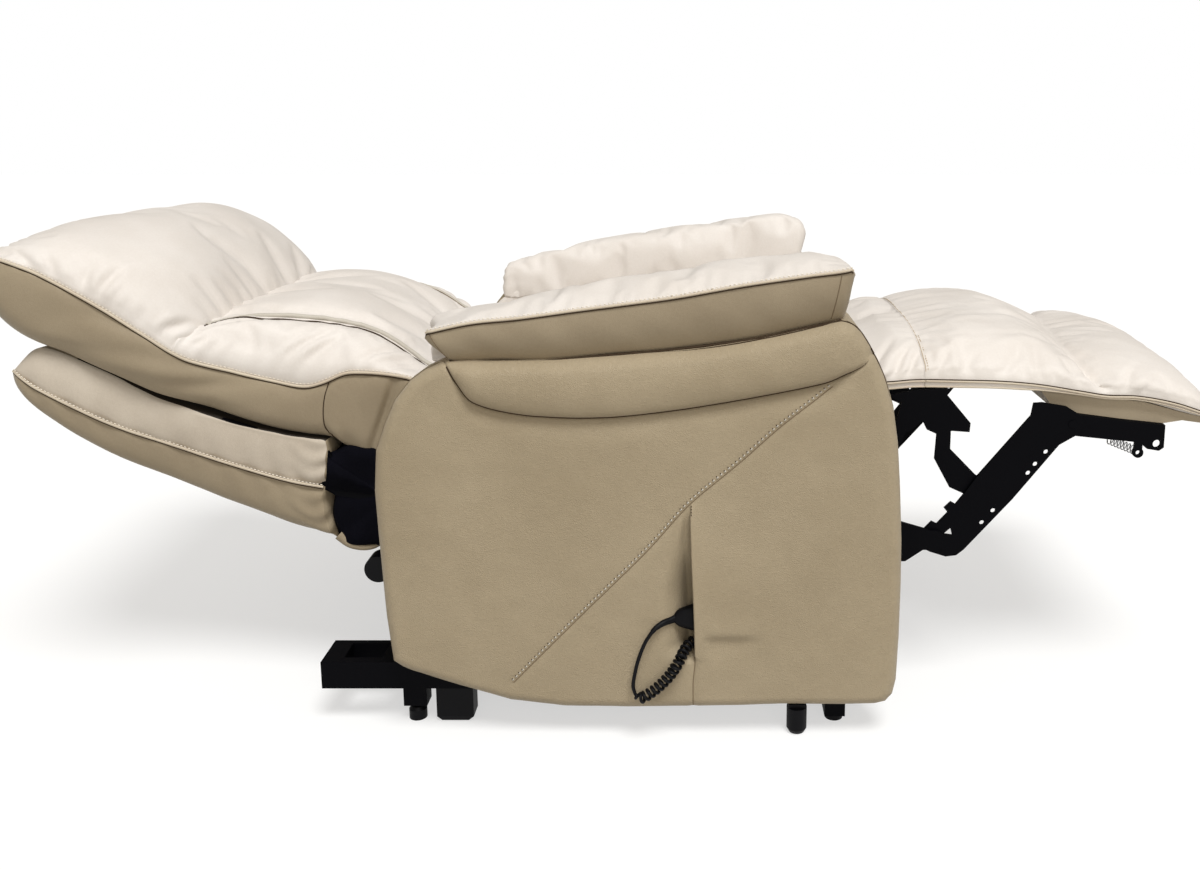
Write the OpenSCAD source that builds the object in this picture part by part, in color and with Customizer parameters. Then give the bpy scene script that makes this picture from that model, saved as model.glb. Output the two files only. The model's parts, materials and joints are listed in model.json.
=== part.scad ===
// Lift recliner chair, shown fully reclined with the footrest out.
// X points forward, Y to the sitter's left, Z up; the floor is z = 0.

/* [Arms and width] */
// Width over the two arms
overall_w = 830; // [780:5:900]
// Thickness of one arm, from its outer face to the seat
arm_w = 134; // [128:1:150]
// Thickness of the padded outer side panel
panel_t = 43; // [42:1:46]
// Thickness of the boards inside an arm
board_t = 16; // [12:1:20]
// Height of the side panel's lower edge
panel_z = 47; // [46:1:60]
// Front of the arms
arm_front_x = 405; // [403:1:412]
// Rear of the arms
arm_rear_x = -327; // [-330:1:-324]
// Highest point of the arm pads
arm_top_z = 684; // [670:1:710]

/* [Seat] */
// Height of the fold line between the seat and the footrest
fold_z = 500; // [498:1:506]
// Place of the fold line, forward of the chair's middle
fold_x = 440; // [438:1:446]
// Top of the seat cushion at its front
seat_top_z = 520; // [510:1:526]
// Front of the seat cushion
seat_front_x = 392; // [380:1:394]
// Underside of the seat cushion
seat_base_z = 430; // [429:1:436]
// Thickness of the wooden seat rails
seat_rail_t = 22; // [18:1:25]
// Diameter of the zigzag spring wire
spring_d = 3.8; // [3:0.1:4.5]

/* [Back] */
// Angle of the reclined back above the horizontal
back_slope = 27; // [27:1:29]
// Half the width of the head cushion
head_half_w = 310; // [300:1:318]
// Gap between an arm and the back that passes between the arms
waist_gap = 9; // [7:0.5:9.5]
// Thickness of the walls of the rear shell
shell_t = 12; // [9:1:14]

/* [Footrest] */
// How much each side of the footrest pads lies inside the arms
foot_inset = 19; // [18:0.5:24]
// Tip of the footrest, forward of the chair's middle
foot_tip_x = 900; // [890:1:906]
// Place of the sewn channel between the middle pad and the tip pad
channel_x = 735; // [725:1:745]

/* [Steelwork] */
// Thickness of the links and mechanism plates
link_t = 5; // [4:0.5:5]
// Running gap between two links side by side
link_gap = 1; // [0.6:0.1:1]
// Diameter of the pivot pins
pin_d = 12; // [10:0.5:13]
// Diameter of the round cross tubes
tube_d = 30; // [26:1:31]
// Wall of the round cross tubes
tube_wall = 2.5; // [1.5:0.5:4]
// Height of the base rails
rail_h = 41; // [36:1:42]
// Width of the base rails
rail_w = 30; // [26:1:31]
// Wall of the base rails
rail_wall = 3; // [2:0.5:4]
// Height of the base rails' underside
rail_z = 52; // [50:1:53]
// Diameter of the levelling feet
foot_d = 26; // [22:1:28]

/* [Actuators] */
// Diameter of an actuator's outer tube
act_tube_d = 38; // [34:1:40]
// Diameter of an actuator's rod
act_rod_d = 18; // [14:1:20]
// Diameter of an actuator's motor
motor_d = 50; // [44:1:52]
// Diameter of the cross pin in a rod's fork
act_pin_d = 10; // [8:0.5:11]

/* [Handset] */
// Length of the handset
handset_l = 150; // [140:1:155]
// Width of the handset
handset_w = 46; // [42:1:48]
// Thickness of the handset
handset_t = 22; // [18:1:22]
// Diameter of the straight cord
cord_d = 6; // [5:0.5:6.5]
// Outer diameter of the curly cord
curl_d = 17; // [15:0.5:17]

/* [Hidden] */
$fn = 48;
fit_gap = 0.3;      // between pieces that rest on each other
bore_gap = 0.05;    // round a pin in its bore

// Planes across the chair, as distances from the middle
arm_outer = overall_w / 2;
arm_inner = arm_outer - arm_w;
waist_half_w = arm_inner - waist_gap;
foot_half_w = arm_inner - foot_inset;
panel_inner = arm_outer - panel_t;
board_outer = arm_inner + board_t;
plate_y = arm_inner - fit_gap - link_t;
lower_y = plate_y - link_gap - link_t;
wide_y = lower_y - link_gap - link_t;
inner_y = wide_y - link_gap - link_t;
lift_mid_y = arm_inner - 67;
bracket_t = 6;
bracket_y = lift_mid_y - bracket_t / 2;
front_link_y = bracket_y + bracket_t + link_gap;
rear_link_y = bracket_y - link_gap - link_t;
hanger_a_y = front_link_y + link_t + link_gap;
rail_y = panel_inner - 4 - rail_w;
rail_top = rail_z + rail_h;

// Pivots, as [x, z]
fold = [fold_x, fold_z];
pad_pivot = fold + [237, -78];
wide_vec = [-202, -181];
knee = pad_pivot + wide_vec;
drive = fold + wide_vec;
recline = [-335, 310];
base_front = [218, 125];
seat_front_pin = [21, 161];
base_rear = [138, 157];
seat_rear_pin = [-239, 237];

// Cross tubes of the seat carriage, as [x, z]
front_tube = [295, 385];
mid_tube = [20, 315];
rear_tube = [-270, 175];
pin_r = pin_d / 2;
tube_r = tube_d / 2;

// Actuator lines: the crank's reach, and each rod's path
act_clear = 1.4;
foot_act_clear = 3.4;
lift_reach = 85;
lift_swing = 25.1;
recline_reach = 81;
recline_swing = 26;
foot_reach = 50;
foot_swing = 40;
act_y = 95;
lift_foot = [-270, 105];
lift_run = base_rear - lift_foot;
lift_dist = norm(lift_run);
lift_line = asin(lift_reach / lift_dist) + atan2(lift_run[1], lift_run[0]);
lift_span = sqrt(lift_dist * lift_dist - lift_reach * lift_reach);
lift_pin_at = lift_span - lift_reach * tan(lift_swing);
recline_pin = [recline[0] + recline_reach * tan(recline_swing), recline[1] - recline_reach];
foot_pin = [drive[0] + foot_reach * tan(foot_swing), drive[1] - foot_reach];

function along(p, a, d) = p + d * [cos(a), sin(a)];
function turn(p, a) = [p[0] * cos(a) - p[1] * sin(a), p[0] * sin(a) + p[1] * cos(a)];
// A point of the back: s runs from the hinge to the head, n out of the cushions
function back_at(s, n) = recline + [
    -s * cos(back_slope) + n * sin(back_slope),
    s * sin(back_slope) + n * cos(back_slope)];
function on_back(pts) = [for (p = pts) back_at(p[0], p[1])];
// A smooth line through open points, with k steps in each span
function spline_pt(a, b, c, d, t) = 0.5 * (2 * b + (c - a) * t
    + (2 * a - 5 * b + 4 * c - d) * t * t + (3 * b - a - 3 * c + d) * t * t * t);
function smooth(p, k = 4) = let (n = len(p)) [
    for (i = [0 : n - 2]) for (j = [0 : k - 1])
        spline_pt(p[max(i - 1, 0)], p[i], p[i + 1], p[min(i + 2, n - 1)], j / k),
    p[n - 1]];
function shift(pts, d) = [for (p = pts) p + d];
function reversed(p) = [for (i = [len(p) - 1 : -1 : 0]) p[i]];

// An outline in the X-Z plane, made t thick from y towards the left
module slab(y, t) { translate([0, y + t, 0]) rotate([90, 0, 0]) linear_extrude(t) children(); }
module both_sides() { children(); mirror([0, 1, 0]) children(); }
// A round bar across the chair at a pivot
module cross(p, r, y0, y1) {
    translate([p[0], y1, p[1]]) rotate([90, 0, 0]) cylinder(r = r, h = y1 - y0);
}
module hollow_cross(p, r, wall, y0, y1) {
    difference() {
        cross(p, r, y0, y1);
        cross(p, r - wall, y0 - 1, y1 + 1);
    }
}
module disc(p, r) { translate(p) circle(r = r); }
// A flat bar with round ends between two points
module bar(p, q, w) {
    d = q - p;
    flank = w - 0.1;
    disc(p, w / 2);
    disc(q, w / 2);
    translate(p) rotate(atan2(d[1], d[0])) translate([0, -flank / 2]) square([norm(d), flank]);
}
// A round bar from one point to another
module rod(a, b, r) {
    d = b - a;
    translate(a) rotate([0, acos(d[2] / norm(d)), atan2(d[1], d[0])]) cylinder(r = r, h = norm(d));
}
// A box from its lowest to its highest corner
module block(a, b) { translate(a) cube(b - a); }

// A round tube swept along points
function unit(v) = v / norm(v);
function heading(p, i) = unit(p[min(i + 1, len(p) - 1)] - p[max(i - 1, 0)]);
module sweep(p, r, sides = 8, ref = [0, 1, 0]) {
    n = len(p);
    pts = [for (i = [0 : n - 1]) let (d = heading(p, i), u = unit(cross(d, ref)), v = cross(d, u))
        for (j = [0 : sides - 1]) let (a = 360 * j / sides) p[i] + r * (cos(a) * u + sin(a) * v)];
    near = [for (i = [0 : n - 2]) for (j = [0 : sides - 1]) let (k = (j + 1) % sides)
        [i * sides + j, i * sides + k, (i + 1) * sides + k]];
    far = [for (i = [0 : n - 2]) for (j = [0 : sides - 1]) let (k = (j + 1) % sides)
        [i * sides + j, (i + 1) * sides + k, (i + 1) * sides + j]];
    ends = [[for (j = [sides - 1 : -1 : 0]) j], [for (j = [0 : sides - 1]) (n - 1) * sides + j]];
    polyhedron(points = pts, faces = concat(near, far, ends), convexity = 4);
}

// ---- Outlines of an arm, as seen from its side ----
seam_line = smooth([[-225, 544], [-197, 507], [-147, 485], [-39, 474], [60, 479], [185, 493],
    [276, 517], [arm_front_x - 58, 545]]);
panel_front = smooth([[arm_front_x - 58, 545], [arm_front_x - 24, 480], [arm_front_x - 8, 364],
    [arm_front_x, 232], [arm_front_x - 1, 120], [arm_front_x - 7, panel_z + 18],
    [arm_front_x - 27, panel_z + 4]]);
panel_rear = smooth([[arm_rear_x + 40, panel_z + 58], [arm_rear_x + 15, panel_z + 69],
    [arm_rear_x + 8, 172], [arm_rear_x + 3, 291], [arm_rear_x, 365], [arm_rear_x + 4, 421],
    [arm_rear_x + 17, 457], [arm_rear_x + 55, 520], [-225, 544]]);
panel_bottom = smooth([[336, panel_z + 2], [123, panel_z], [-69, panel_z], [-147, panel_z + 10],
    [-231, panel_z + 36], [arm_rear_x + 40, panel_z + 58]]);
pad_bottom = [[-228, 546], [-147, 548], [-66, 553], [15, 561], [123, 574], [203, 586],
    [283, 602], [arm_front_x - 84, 613]];
roll_front = smooth([[arm_front_x - 58, 545.3], [arm_front_x - 60, 565], [arm_front_x - 72, 590],
    [arm_front_x - 84, 604]], 2);

module panel_outline() {
    polygon(concat(seam_line, panel_front, panel_bottom, panel_rear));
}
// Handset pocket: its mouth is a slit whose rear side dips inwards
slit_x = 116;
scoop_x = 58;
scoop_z = 118;
cord_room_z = 127;
pocket_z = 154.7;
pocket_top = 345;
pocket_l = 150;
pocket_floor_y = panel_inner + 3;
skin_t = 4;

// Sewn-in piece of the right side panel that holds the pocket
insert_x = [scoop_x - 10, slit_x + pocket_l + 10];
insert_z = [scoop_z - 10, pocket_top + 9];

module side_panel(pocket) {
    difference() {
        slab(-arm_outer, panel_t) panel_outline();
        if (pocket) block([insert_x[0], -arm_outer - 1, insert_z[0]],
            [insert_x[1], -panel_inner + 1, insert_z[1]]);
    }
}
module pocket_insert() {
    color("#c4ad88") difference() {
        block([insert_x[0] + fit_gap, -arm_outer, insert_z[0] + fit_gap],
            [insert_x[1] - fit_gap, -panel_inner, insert_z[1] - fit_gap]);
        block([slit_x - 1, -arm_outer + skin_t, pocket_z],
            [slit_x + pocket_l, -pocket_floor_y, pocket_top]);
        // room for the cord's inner end
        block([slit_x - 1, -arm_outer + skin_t, cord_room_z],
            [slit_x + 20, -pocket_floor_y, pocket_z + 1]);
        translate([0, 0, scoop_z]) linear_extrude(pocket_top - scoop_z) polygon([
            [scoop_x, -arm_outer], [scoop_x, -arm_outer - 1], [slit_x, -arm_outer - 1],
            [slit_x, -pocket_floor_y], [slit_x - 10, -pocket_floor_y - 5]]);
    }
}
module side_panel_right() { color("#c9b491") side_panel(true); }
module side_panel_left() { color("#c9b491") mirror([0, 1, 0]) side_panel(false); }

board_z = rail_top + 9;
module arm_frame() {
    top_line = shift(seam_line, [0, -fit_gap]);
    low_line = shift(seam_line, [0, -board_t]);
    // inner board
    slab(-board_outer, board_t) polygon(concat(
        [for (p = top_line) if (p[0] > -215 && p[0] < arm_front_x - 70) p],
        [[arm_front_x - 40, 470], [arm_front_x - 18, 300], [arm_front_x - 16, board_z],
        [arm_rear_x + 24, board_z + 14], [arm_rear_x + 16, 300], [arm_rear_x + 20, 400],
        [arm_rear_x + 40, 450]]));
    // front board
    block([arm_front_x - 34, -panel_inner, panel_z + 13],
        [arm_front_x - 18, -board_outer, 300]);
    // rear board
    block([arm_rear_x + 20, -panel_inner, board_z + 24],
        [arm_rear_x + 36, -board_outer, 400]);
    // top board under the roll
    slab(-panel_inner, panel_inner - board_outer) polygon(concat(
        [for (p = top_line) if (p[0] > -150 && p[0] < 280) p],
        reversed([for (p = low_line) if (p[0] > -150 && p[0] < 280) p])));
}
module arm_frames() { color("#caa472") both_sides() arm_frame(); }

module arm_roll() {
    slab(-arm_outer + 2, arm_w - 4) polygon(concat(
        shift(seam_line, [0, fit_gap]), roll_front,
        [[283, 602 - fit_gap]], reversed([for (p = pad_bottom) if (p[0] < 280) p - [0, fit_gap]])));
}
module arm_roll_right() { color("#c4b08d") arm_roll(); }
module arm_roll_left() { color("#c4b08d") mirror([0, 1, 0]) arm_roll(); }

// Arm pad: a low outer edge, a high crown and an inner edge
pad_seam = [[-245, 586], [-100, 616], [90, 642], [230, 658], [arm_front_x - 80, 668]];
pad_crown = [[-228, 594], [-195, 610], [-85, 638], [89, arm_top_z - 13],
    [237, arm_top_z - 1], [285, arm_top_z], [arm_front_x - 84, arm_top_z - 8]];
module arm_pad() {
    hull() {
        slab(-arm_outer, arm_w - 2) polygon(concat(pad_bottom, reversed(pad_seam)));
        slab(-arm_outer + 40, arm_w - 82) polygon(concat(pad_bottom, reversed(pad_crown)));
    }
}
module arm_pad_right() { color("#e0d6c8") arm_pad(); }
module arm_pad_left() { color("#e0d6c8") mirror([0, 1, 0]) arm_pad(); }

// ---- Base ----
stub_x = -428;
opening_x = [-398, -342];
opening_y = [rail_y + rail_w - 15, rail_y - 29];
front_leg_x = [305, 335];
rear_bar_x = [-325, -295];
mid_bar_x = [105, 145];
front_bar_z = [8, 36];
module base_rail() {
    rail_end = 345;
    y0 = -rail_y - rail_w;
    difference() {
        union() {
            block([opening_x[1], y0, rail_z], [rail_end, -rail_y, rail_top]);
            // flat frame of the rear stabiliser
            block([stub_x, y0, rail_z], [rear_bar_x[0], -opening_y[1] + 10, rail_top]);
        }
        block([opening_x[0], -opening_y[0], rail_z - 1],
            [opening_x[1], -opening_y[1], rail_top + 1]);
        // hollow of the rail, open at its front end
        block([rear_bar_x[1], y0 + rail_wall, rail_z + rail_wall],
            [rail_end + 1, -rail_y - rail_wall, rail_top - rail_wall]);
    }
    block([front_leg_x[0], y0, front_bar_z[0]], [front_leg_x[1], -rail_y, rail_z]);
}
module base_rails() { color("#15161a") both_sides() base_rail(); }

module square_tube(x, z, half) {
    difference() {
        block([x[0], -half, z[0]], [x[1], half, z[1]]);
        block([x[0] + rail_wall, -half - 1, z[0] + rail_wall],
            [x[1] - rail_wall, half + 1, z[1] - rail_wall]);
    }
}
module base_cross_tubes() {
    color("#15161a") {
        square_tube(front_leg_x, front_bar_z, rail_y);
        square_tube(mid_bar_x, [rail_z, rail_top], rail_y);
        square_tube(rear_bar_x, [rail_z, rail_top], rail_y);
    }
}
module rail_caps() {
    color("#0c0c0e") both_sides() {
        y0 = -rail_y - rail_w;
        block([345, y0, rail_z], [349, -rail_y, rail_top]);
        block([325, y0 + rail_wall + 0.2, rail_z + rail_wall + 0.2],
            [345, -rail_y - rail_wall - 0.2, rail_top - rail_wall - 0.2]);
    }
}
// Upright that carries the two lift pivots of one side
module lift_brackets() {
    color("#15161a") both_sides() difference() {
        slab(-bracket_y - bracket_t, bracket_t) polygon([
            [mid_bar_x[0] + 3, rail_top], [mid_bar_x[1], rail_top], [228, 106], [235, 122],
            [226, 141], [150, 174], [128, 174], [116, 160]]);
        cross(base_front, pin_r + bore_gap, -arm_outer, 0);
        cross(base_rear, pin_r + bore_gap, -arm_outer, 0);
    }
}
foot_y = rail_y + rail_w / 2;
rear_foot_x = -293;
front_foot_x = 320;
module levelling_foot(x, top) {
    translate([x, -foot_y, 0]) {
        cylinder(d = foot_d, h = 14);
        translate([0, 0, 14]) cylinder(d1 = foot_d, d2 = foot_d - 6, h = 5, $fn = 48);
        cylinder(d = 10, h = top);
    }
}
module levelling_feet() {
    color("#0c0c0e") both_sides() {
        levelling_foot(rear_foot_x, rail_z);
        translate([front_foot_x, -foot_y, 0]) cylinder(d = foot_d, h = front_bar_z[0]);
    }
}
module foot_brackets() {
    color("#15161a") both_sides() {
        difference() {
            block([rear_foot_x - 17, -foot_y - 14, 24], [rear_foot_x + 17, -foot_y + 14, rail_z]);
            translate([rear_foot_x, -foot_y, 0]) cylinder(d = 10.6, h = 100);
        }
    }
}
glide_x = 262;
glide_y = panel_inner + 19;
module front_glides() {
    color("#0c0c0e") both_sides() {
        block([glide_x - 13, -glide_y - 8, 38], [glide_x + 13, -rail_y - rail_w / 2, 44]);
        block([glide_x - 13, -rail_y - rail_w, 44], [glide_x + 13, -rail_y - 4, rail_z]);
        translate([glide_x, -glide_y, 0]) {
            cylinder(d1 = 22, d2 = 29, h = 6);
            translate([0, 0, 6]) cylinder(d = 29, h = 32);
        }
    }
}
module rear_blocks() {
    color("#0c0c0e") both_sides() hull() {
        block([-262, -foot_y - 15, 8], [-208, -foot_y + 15, rail_z]);
        block([-255, -foot_y - 13, 1], [-216, -foot_y + 13, 10]);
    }
}
supply_y = [-210, -100];
supply_x = [-352, -282];
module power_supply() {
    color("#1b1b1f")
        block([supply_x[0], supply_y[0], rail_top], [supply_x[1], supply_y[1], rail_top + 44]);
}
inlet_depth = 14;
module mains_inlet() {
    x0 = supply_x[0] - inlet_depth;
    color("#0c0c0e") difference() {
        block([x0, -172, rail_top + 8], [supply_x[0], -138, rail_top + 34]);
        block([x0 - 1, -167, rail_top + 12], [x0 + inlet_depth - 3, -143, rail_top + 30]);
    }
}

// ---- Lift links ----
link_w = 36;
module front_lift_links() {
    color("#15161a") both_sides() {
        slab(-front_link_y - link_t, link_t) bar(base_front, seat_front_pin, link_w);
        // pins turn in the base bracket and in the carriage hanger
        cross(base_front, pin_r, -front_link_y - 2, -bracket_y + 1);
        cross(seat_front_pin, pin_r, -hanger_a_y - link_t - 1, -front_link_y - 3);
    }
}
torque_at = 0.145;
torque_tube = base_rear + torque_at * (seat_rear_pin - base_rear);
module rear_lift_links() {
    color("#15161a") both_sides() {
        difference() {
            slab(-rear_link_y - link_t, link_t) bar(base_rear, seat_rear_pin, link_w);
            cross(seat_rear_pin, pin_r + act_clear, -arm_outer, 0);
        }
        cross(base_rear, pin_r, -bracket_y - bracket_t + 0.5, -rear_link_y - 3);
    }
}
// Slot that a rod's cross pin slides in, from the pivot outwards
module slot(p, a, r0, r1, w) { bar(along(p, a, r0), along(p, a, r1), w); }
module lift_torque_tube() {
    swing_a = lift_line + 90 + lift_swing;
    tip = along(base_rear, swing_a, lift_reach / cos(lift_swing) + 14);
    color("#15161a") {
        difference() {
            cross(torque_tube, 14, -rear_link_y, rear_link_y);
            cross(torque_tube, 14 - tube_wall, -rear_link_y - 1, -15);
            cross(torque_tube, 14 - tube_wall, 15, rear_link_y + 1);
        }
        difference() {
            slab(-5, 10) {
                bar(torque_tube, along(base_rear, swing_a, lift_reach - 14), 24);
                bar(along(base_rear, swing_a, lift_reach - 14), tip, 28);
            }
            slab(-6, 12) slot(base_rear, swing_a, lift_reach - 3,
                lift_reach / cos(lift_swing) + 3, act_pin_d + 2 * act_clear);
        }
    }
}

// ---- Actuators: each lies along +X from its clevis, rod out towards +X ----
tube_start = 62;
tube_l = 200;
module actuator_motor(side) {
    // gear case round the screw, and the motor beside the tube
    difference() {
        block([16, -26, -26], [tube_start, 26, 26]);
        translate([10, 0, 0]) rotate([0, 90, 0]) cylinder(d = 12, h = 30);
    }
    block([20, side * 56 - 24, -22], [tube_start, side * 56 + 24, 22]);
    block([22, min(0, side * 40), -16], [tube_start - 4, max(0, side * 40), 16]);
    translate([tube_start, side * 56, 0]) rotate([0, 90, 0]) cylinder(d = motor_d, h = 92);
    translate([tube_start + 92, side * 56, 0]) rotate([0, 90, 0]) cylinder(d = motor_d - 12, h = 6);
    // rear eye
    difference() {
        union() {
            block([0, -7, -12], [18, 7, 12]);
            translate([0, 7, 0]) rotate([90, 0, 0]) cylinder(r = 12, h = 14);
        }
        translate([0, 10, 0]) rotate([90, 0, 0]) cylinder(d = act_pin_d + 2 * bore_gap, h = 20);
    }
}
module actuator_tube(l) {
    difference() {
        translate([tube_start, 0, 0]) rotate([0, 90, 0]) cylinder(d = act_tube_d, h = l);
        translate([tube_start + 4, 0, 0]) rotate([0, 90, 0])
            cylinder(d = act_rod_d + 0.2, h = l);
    }
}
// Rod with a fork and its cross pin; the pin is at reach, the rod starts at from
fork_l = 31;
module actuator_rod(from, reach) {
    root = reach - fork_l;
    translate([from, 0, 0]) rotate([0, 90, 0]) cylinder(d = act_rod_d, h = root - 9 - from);
    block([root - 10, -13, -9], [root, 13, 9]);
    for (s = [-1, 1]) translate([0, s * 10, 0]) {
        block([root - 1, -3, -9], [reach, 3, 9]);
        translate([reach, 3, 0]) rotate([90, 0, 0]) cylinder(r = 8.8, h = 6);
    }
    translate([reach, 8, 0]) rotate([90, 0, 0]) cylinder(d = act_pin_d, h = 16);
}
module at_lift() { translate([lift_foot[0], 0, lift_foot[1]]) rotate([0, -lift_line, 0]) children(); }
module lift_motor() { color("#202226") at_lift() actuator_motor(1); }
module lift_actuator_tube() { color("#3a3d42") at_lift() actuator_tube(tube_l); }
module lift_rod() { color("#b8bcc0") at_lift() actuator_rod(tube_start + 10, lift_pin_at); }
// Ears on the rear base tube that hold the lift actuator's eye
module lift_clevis() {
    color("#15161a") {
        for (s = [-1, 1]) slab(s * 10.5 - 3, 6) polygon([[-321, rail_top], [-295, rail_top],
            [-262, 93], [-257, 104], [-262, 116], [-280, 118]]);
        cross(lift_foot, act_pin_d / 2, -14, 14);
    }
}
recline_eye = 112;
module at_recline() { translate([recline_eye, act_y, recline_pin[1]]) rotate([0, 0, 180]) children(); }
recline_pin_at = recline_eye - recline_pin[0];
module recline_motor() { color("#202226") at_recline() actuator_motor(-1); }
module recline_actuator_tube() { color("#3a3d42") at_recline() actuator_tube(tube_l + 20); }
module recline_rod() { color("#b8bcc0") at_recline() actuator_rod(tube_start + 10, recline_pin_at); }
foot_eye = -120;
module at_footrest() { translate([foot_eye, -act_y, foot_pin[1]]) children(); }
foot_pin_at = foot_pin[0] - foot_eye;
foot_rod_end = tube_start + 12 + 2 * foot_reach * tan(foot_swing);
module footrest_motor() { color("#202226") at_footrest() actuator_motor(-1); }
module footrest_actuator_tube() { color("#3a3d42") at_footrest() actuator_tube(tube_l); }
module footrest_rod() { color("#b8bcc0") at_footrest() actuator_rod(foot_rod_end, foot_pin_at); }

// ---- Seat carriage ----
module mechanism_plates() {
    color("#15161a") both_sides() difference() {
        slab(-plate_y - link_t, link_t) polygon([
            [-358, 322], [-345, 336], [-200, 345], [150, 350], [262, 402], [308, 403], [316, 378],
            [262, 294], [235, 286], [40, 285], [-236, 262], [-242, 158], [-290, 152], [-346, 192],
            [-346, 230], [-318, 252], [-322, 284], [-352, 296]]);
        cross(recline, pin_r + 2 + bore_gap, -arm_outer, 0);
        cross(drive, 14 + bore_gap, -arm_outer, 0);
    }
}
module carriage_cross_tubes() {
    color("#15161a") {
        hollow_cross(front_tube, tube_r, tube_wall, -plate_y, plate_y);
        hollow_cross(rear_tube, tube_r, tube_wall, -plate_y, plate_y);
        difference() {
            union() {
                cross(mid_tube, tube_r, -plate_y, plate_y);
                // saddles that the two carriage actuators hang from, and posts under the seat
                for (p = [[act_y, recline_pin[1]], [-act_y, foot_pin[1]]])
                    block([mid_tube[0] - 14, p[0] - 12, p[1] + act_tube_d / 2 + fit_gap],
                        [mid_tube[0] + 14, p[0] + 12, mid_tube[1]]);
                both_sides() block([mid_tube[0] - 12, -inner_y + 8, mid_tube[1]],
                    [mid_tube[0] + 12, -inner_y + 28, seat_rail_z]);
            }
            cross(mid_tube, tube_r - tube_wall, -plate_y - 1, plate_y + 1);
        }
    }
}
// Plates that hang from the cross tubes and hold the lift links' upper pins
module lift_hangers() {
    color("#15161a") both_sides() {
        difference() {
            slab(-hanger_a_y - link_t, link_t) bar(mid_tube, seat_front_pin, 44);
            cross(seat_front_pin, pin_r + bore_gap, -arm_outer, 0);
            cross(mid_tube, tube_r + bore_gap, -arm_outer, 0);
        }
        difference() {
            slab(-bracket_y - bracket_t, bracket_t) bar(rear_tube, seat_rear_pin, 40);
            cross(rear_tube, tube_r + bore_gap, -arm_outer, 0);
        }
        cross(seat_rear_pin, pin_r, -bracket_y - 2, -rear_link_y + 2);
    }
}
module rear_bumpers() {
    color("#111214") both_sides() cross([-355, 211], 20, -arm_inner - 30, -arm_inner);
}
seat_rail_z = front_tube[1] + tube_r + fit_gap;
seat_rail_top = seat_base_z - fit_gap;
seat_rail_x = [-148, 374];
module seat_frame() {
    color("#caa472") {
        both_sides() block([seat_rail_x[0], -inner_y + 6, seat_rail_z],
            [seat_rail_x[1], -inner_y + 6 + seat_rail_t, seat_rail_top]);
        for (x = [seat_rail_x[0], seat_rail_x[1] - seat_rail_t])
            block([x, -inner_y + 6 + seat_rail_t, seat_rail_z],
                [x + seat_rail_t, inner_y - 6 - seat_rail_t, seat_rail_top]);
    }
}
spring_bends = 12;
module seat_springs() {
    x0 = seat_rail_x[0] + seat_rail_t;
    x1 = seat_rail_x[1] - seat_rail_t;
    z = (seat_rail_z + seat_rail_top) / 2 + 6;
    n = spring_bends * 4;
    end_l = 6;
    color("#8d9094") for (y = [-160 : 80 : 160])
        sweep(concat([[x0, y, z]],
            [for (i = [0 : n]) [x0 + end_l + (x1 - x0 - 2 * end_l) * i / n, y + 22 * sin(i * 90), z]],
            [[x1, y, z]]), spring_d / 2, 6, [0, 0, 1]);
}
module seat_cushion() {
    side = arm_inner - 2;
    color("#e0d6c8") hull() {
        slab(-side, 2 * side) polygon([[-156, seat_base_z], [-166, 480], [-150, 494],
            [0, seat_top_z - 24], [330, seat_top_z - 10], [seat_front_x - 12, seat_top_z - 14],
            [seat_front_x, 486], [seat_front_x - 2, seat_base_z]]);
        slab(-side + 40, 2 * side - 80) polygon([[-150, seat_base_z], [-140, 500],
            [0, seat_top_z - 12], [300, seat_top_z], [seat_front_x - 30, seat_top_z - 6],
            [seat_front_x - 30, seat_base_z]]);
    }
}
module control_box() {
    x0 = mid_tube[0] + tube_r + fit_gap;
    color("#1b1b1f") {
        block([x0, -38, 290], [x0 + 74, 38, 322]);
        for (y = [-20, 0, 20]) block([x0 + 74, y - 7, 296], [x0 + 78, y + 7, 310]);
    }
}
// Cloth sleeve that hides the recline hinge, with a slit for its crank
sleeve_r = 70;
module rear_dust_cover() {
    end_y = back_bracket_y - bracket_t - fit_gap;
    color("#0e0e10") {
        hollow_cross(recline, sleeve_r, 5, -end_y, act_y - 22);
        hollow_cross(recline, sleeve_r, 5, act_y + 22, end_y);
    }
}

// ---- Back ----
// Waist and head widths are joined by a taper
taper_s = [300, 440];
module tapered(n0, n1, inset = 0) {
    w0 = waist_half_w - inset;
    w1 = head_half_w - inset;
    a = [recline[0], 0, recline[1]];
    translate(a) rotate([0, back_slope, 0]) translate([0, 0, n0]) linear_extrude(n1 - n0)
        polygon([[300, -w0], [-taper_s[0], -w0], [-taper_s[1], -w1], [-760, -w1],
            [-760, w1], [-taper_s[1], w1], [-taper_s[0], w0], [300, w0]]);
}
gap_line = [[118, 43], [180, 30], [262, 14], [340, 8], [434, -2], [500, -8], [552, -12]];
shell_top = shift(gap_line, [0, -5]);
shell_bottom = smooth([[579, -28], [583, -45], [560, -93], [490, -112], [406, -124], [320, -130],
    [243, -128], [140, -116], [52, -100]], 2);
module rear_shell() {
    hollow_w = back_bracket_y + fit_gap;
    outer = concat(shell_top, [[570, -16]], shell_bottom, [[44, -88], [60, -50], [76, -5], [100, 30]]);
    inner = concat(shift([for (p = shell_top) if (p[0] < 540) p], [0, -shell_t]),
        [[562 - shell_t, -40]],
        shift([for (p = shell_bottom) if (p[0] < 550 && p[0] > 60) p], [0, shell_t]),
        [[30, -100 + shell_t], [30, 18]]);
    color("#cdb795") difference() {
        intersection() {
            slab(-head_half_w, 2 * head_half_w) polygon(on_back(outer));
            tapered(-200, 120);
        }
        slab(-hollow_w, 2 * hollow_w) polygon(on_back(inner));
    }
}
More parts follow.
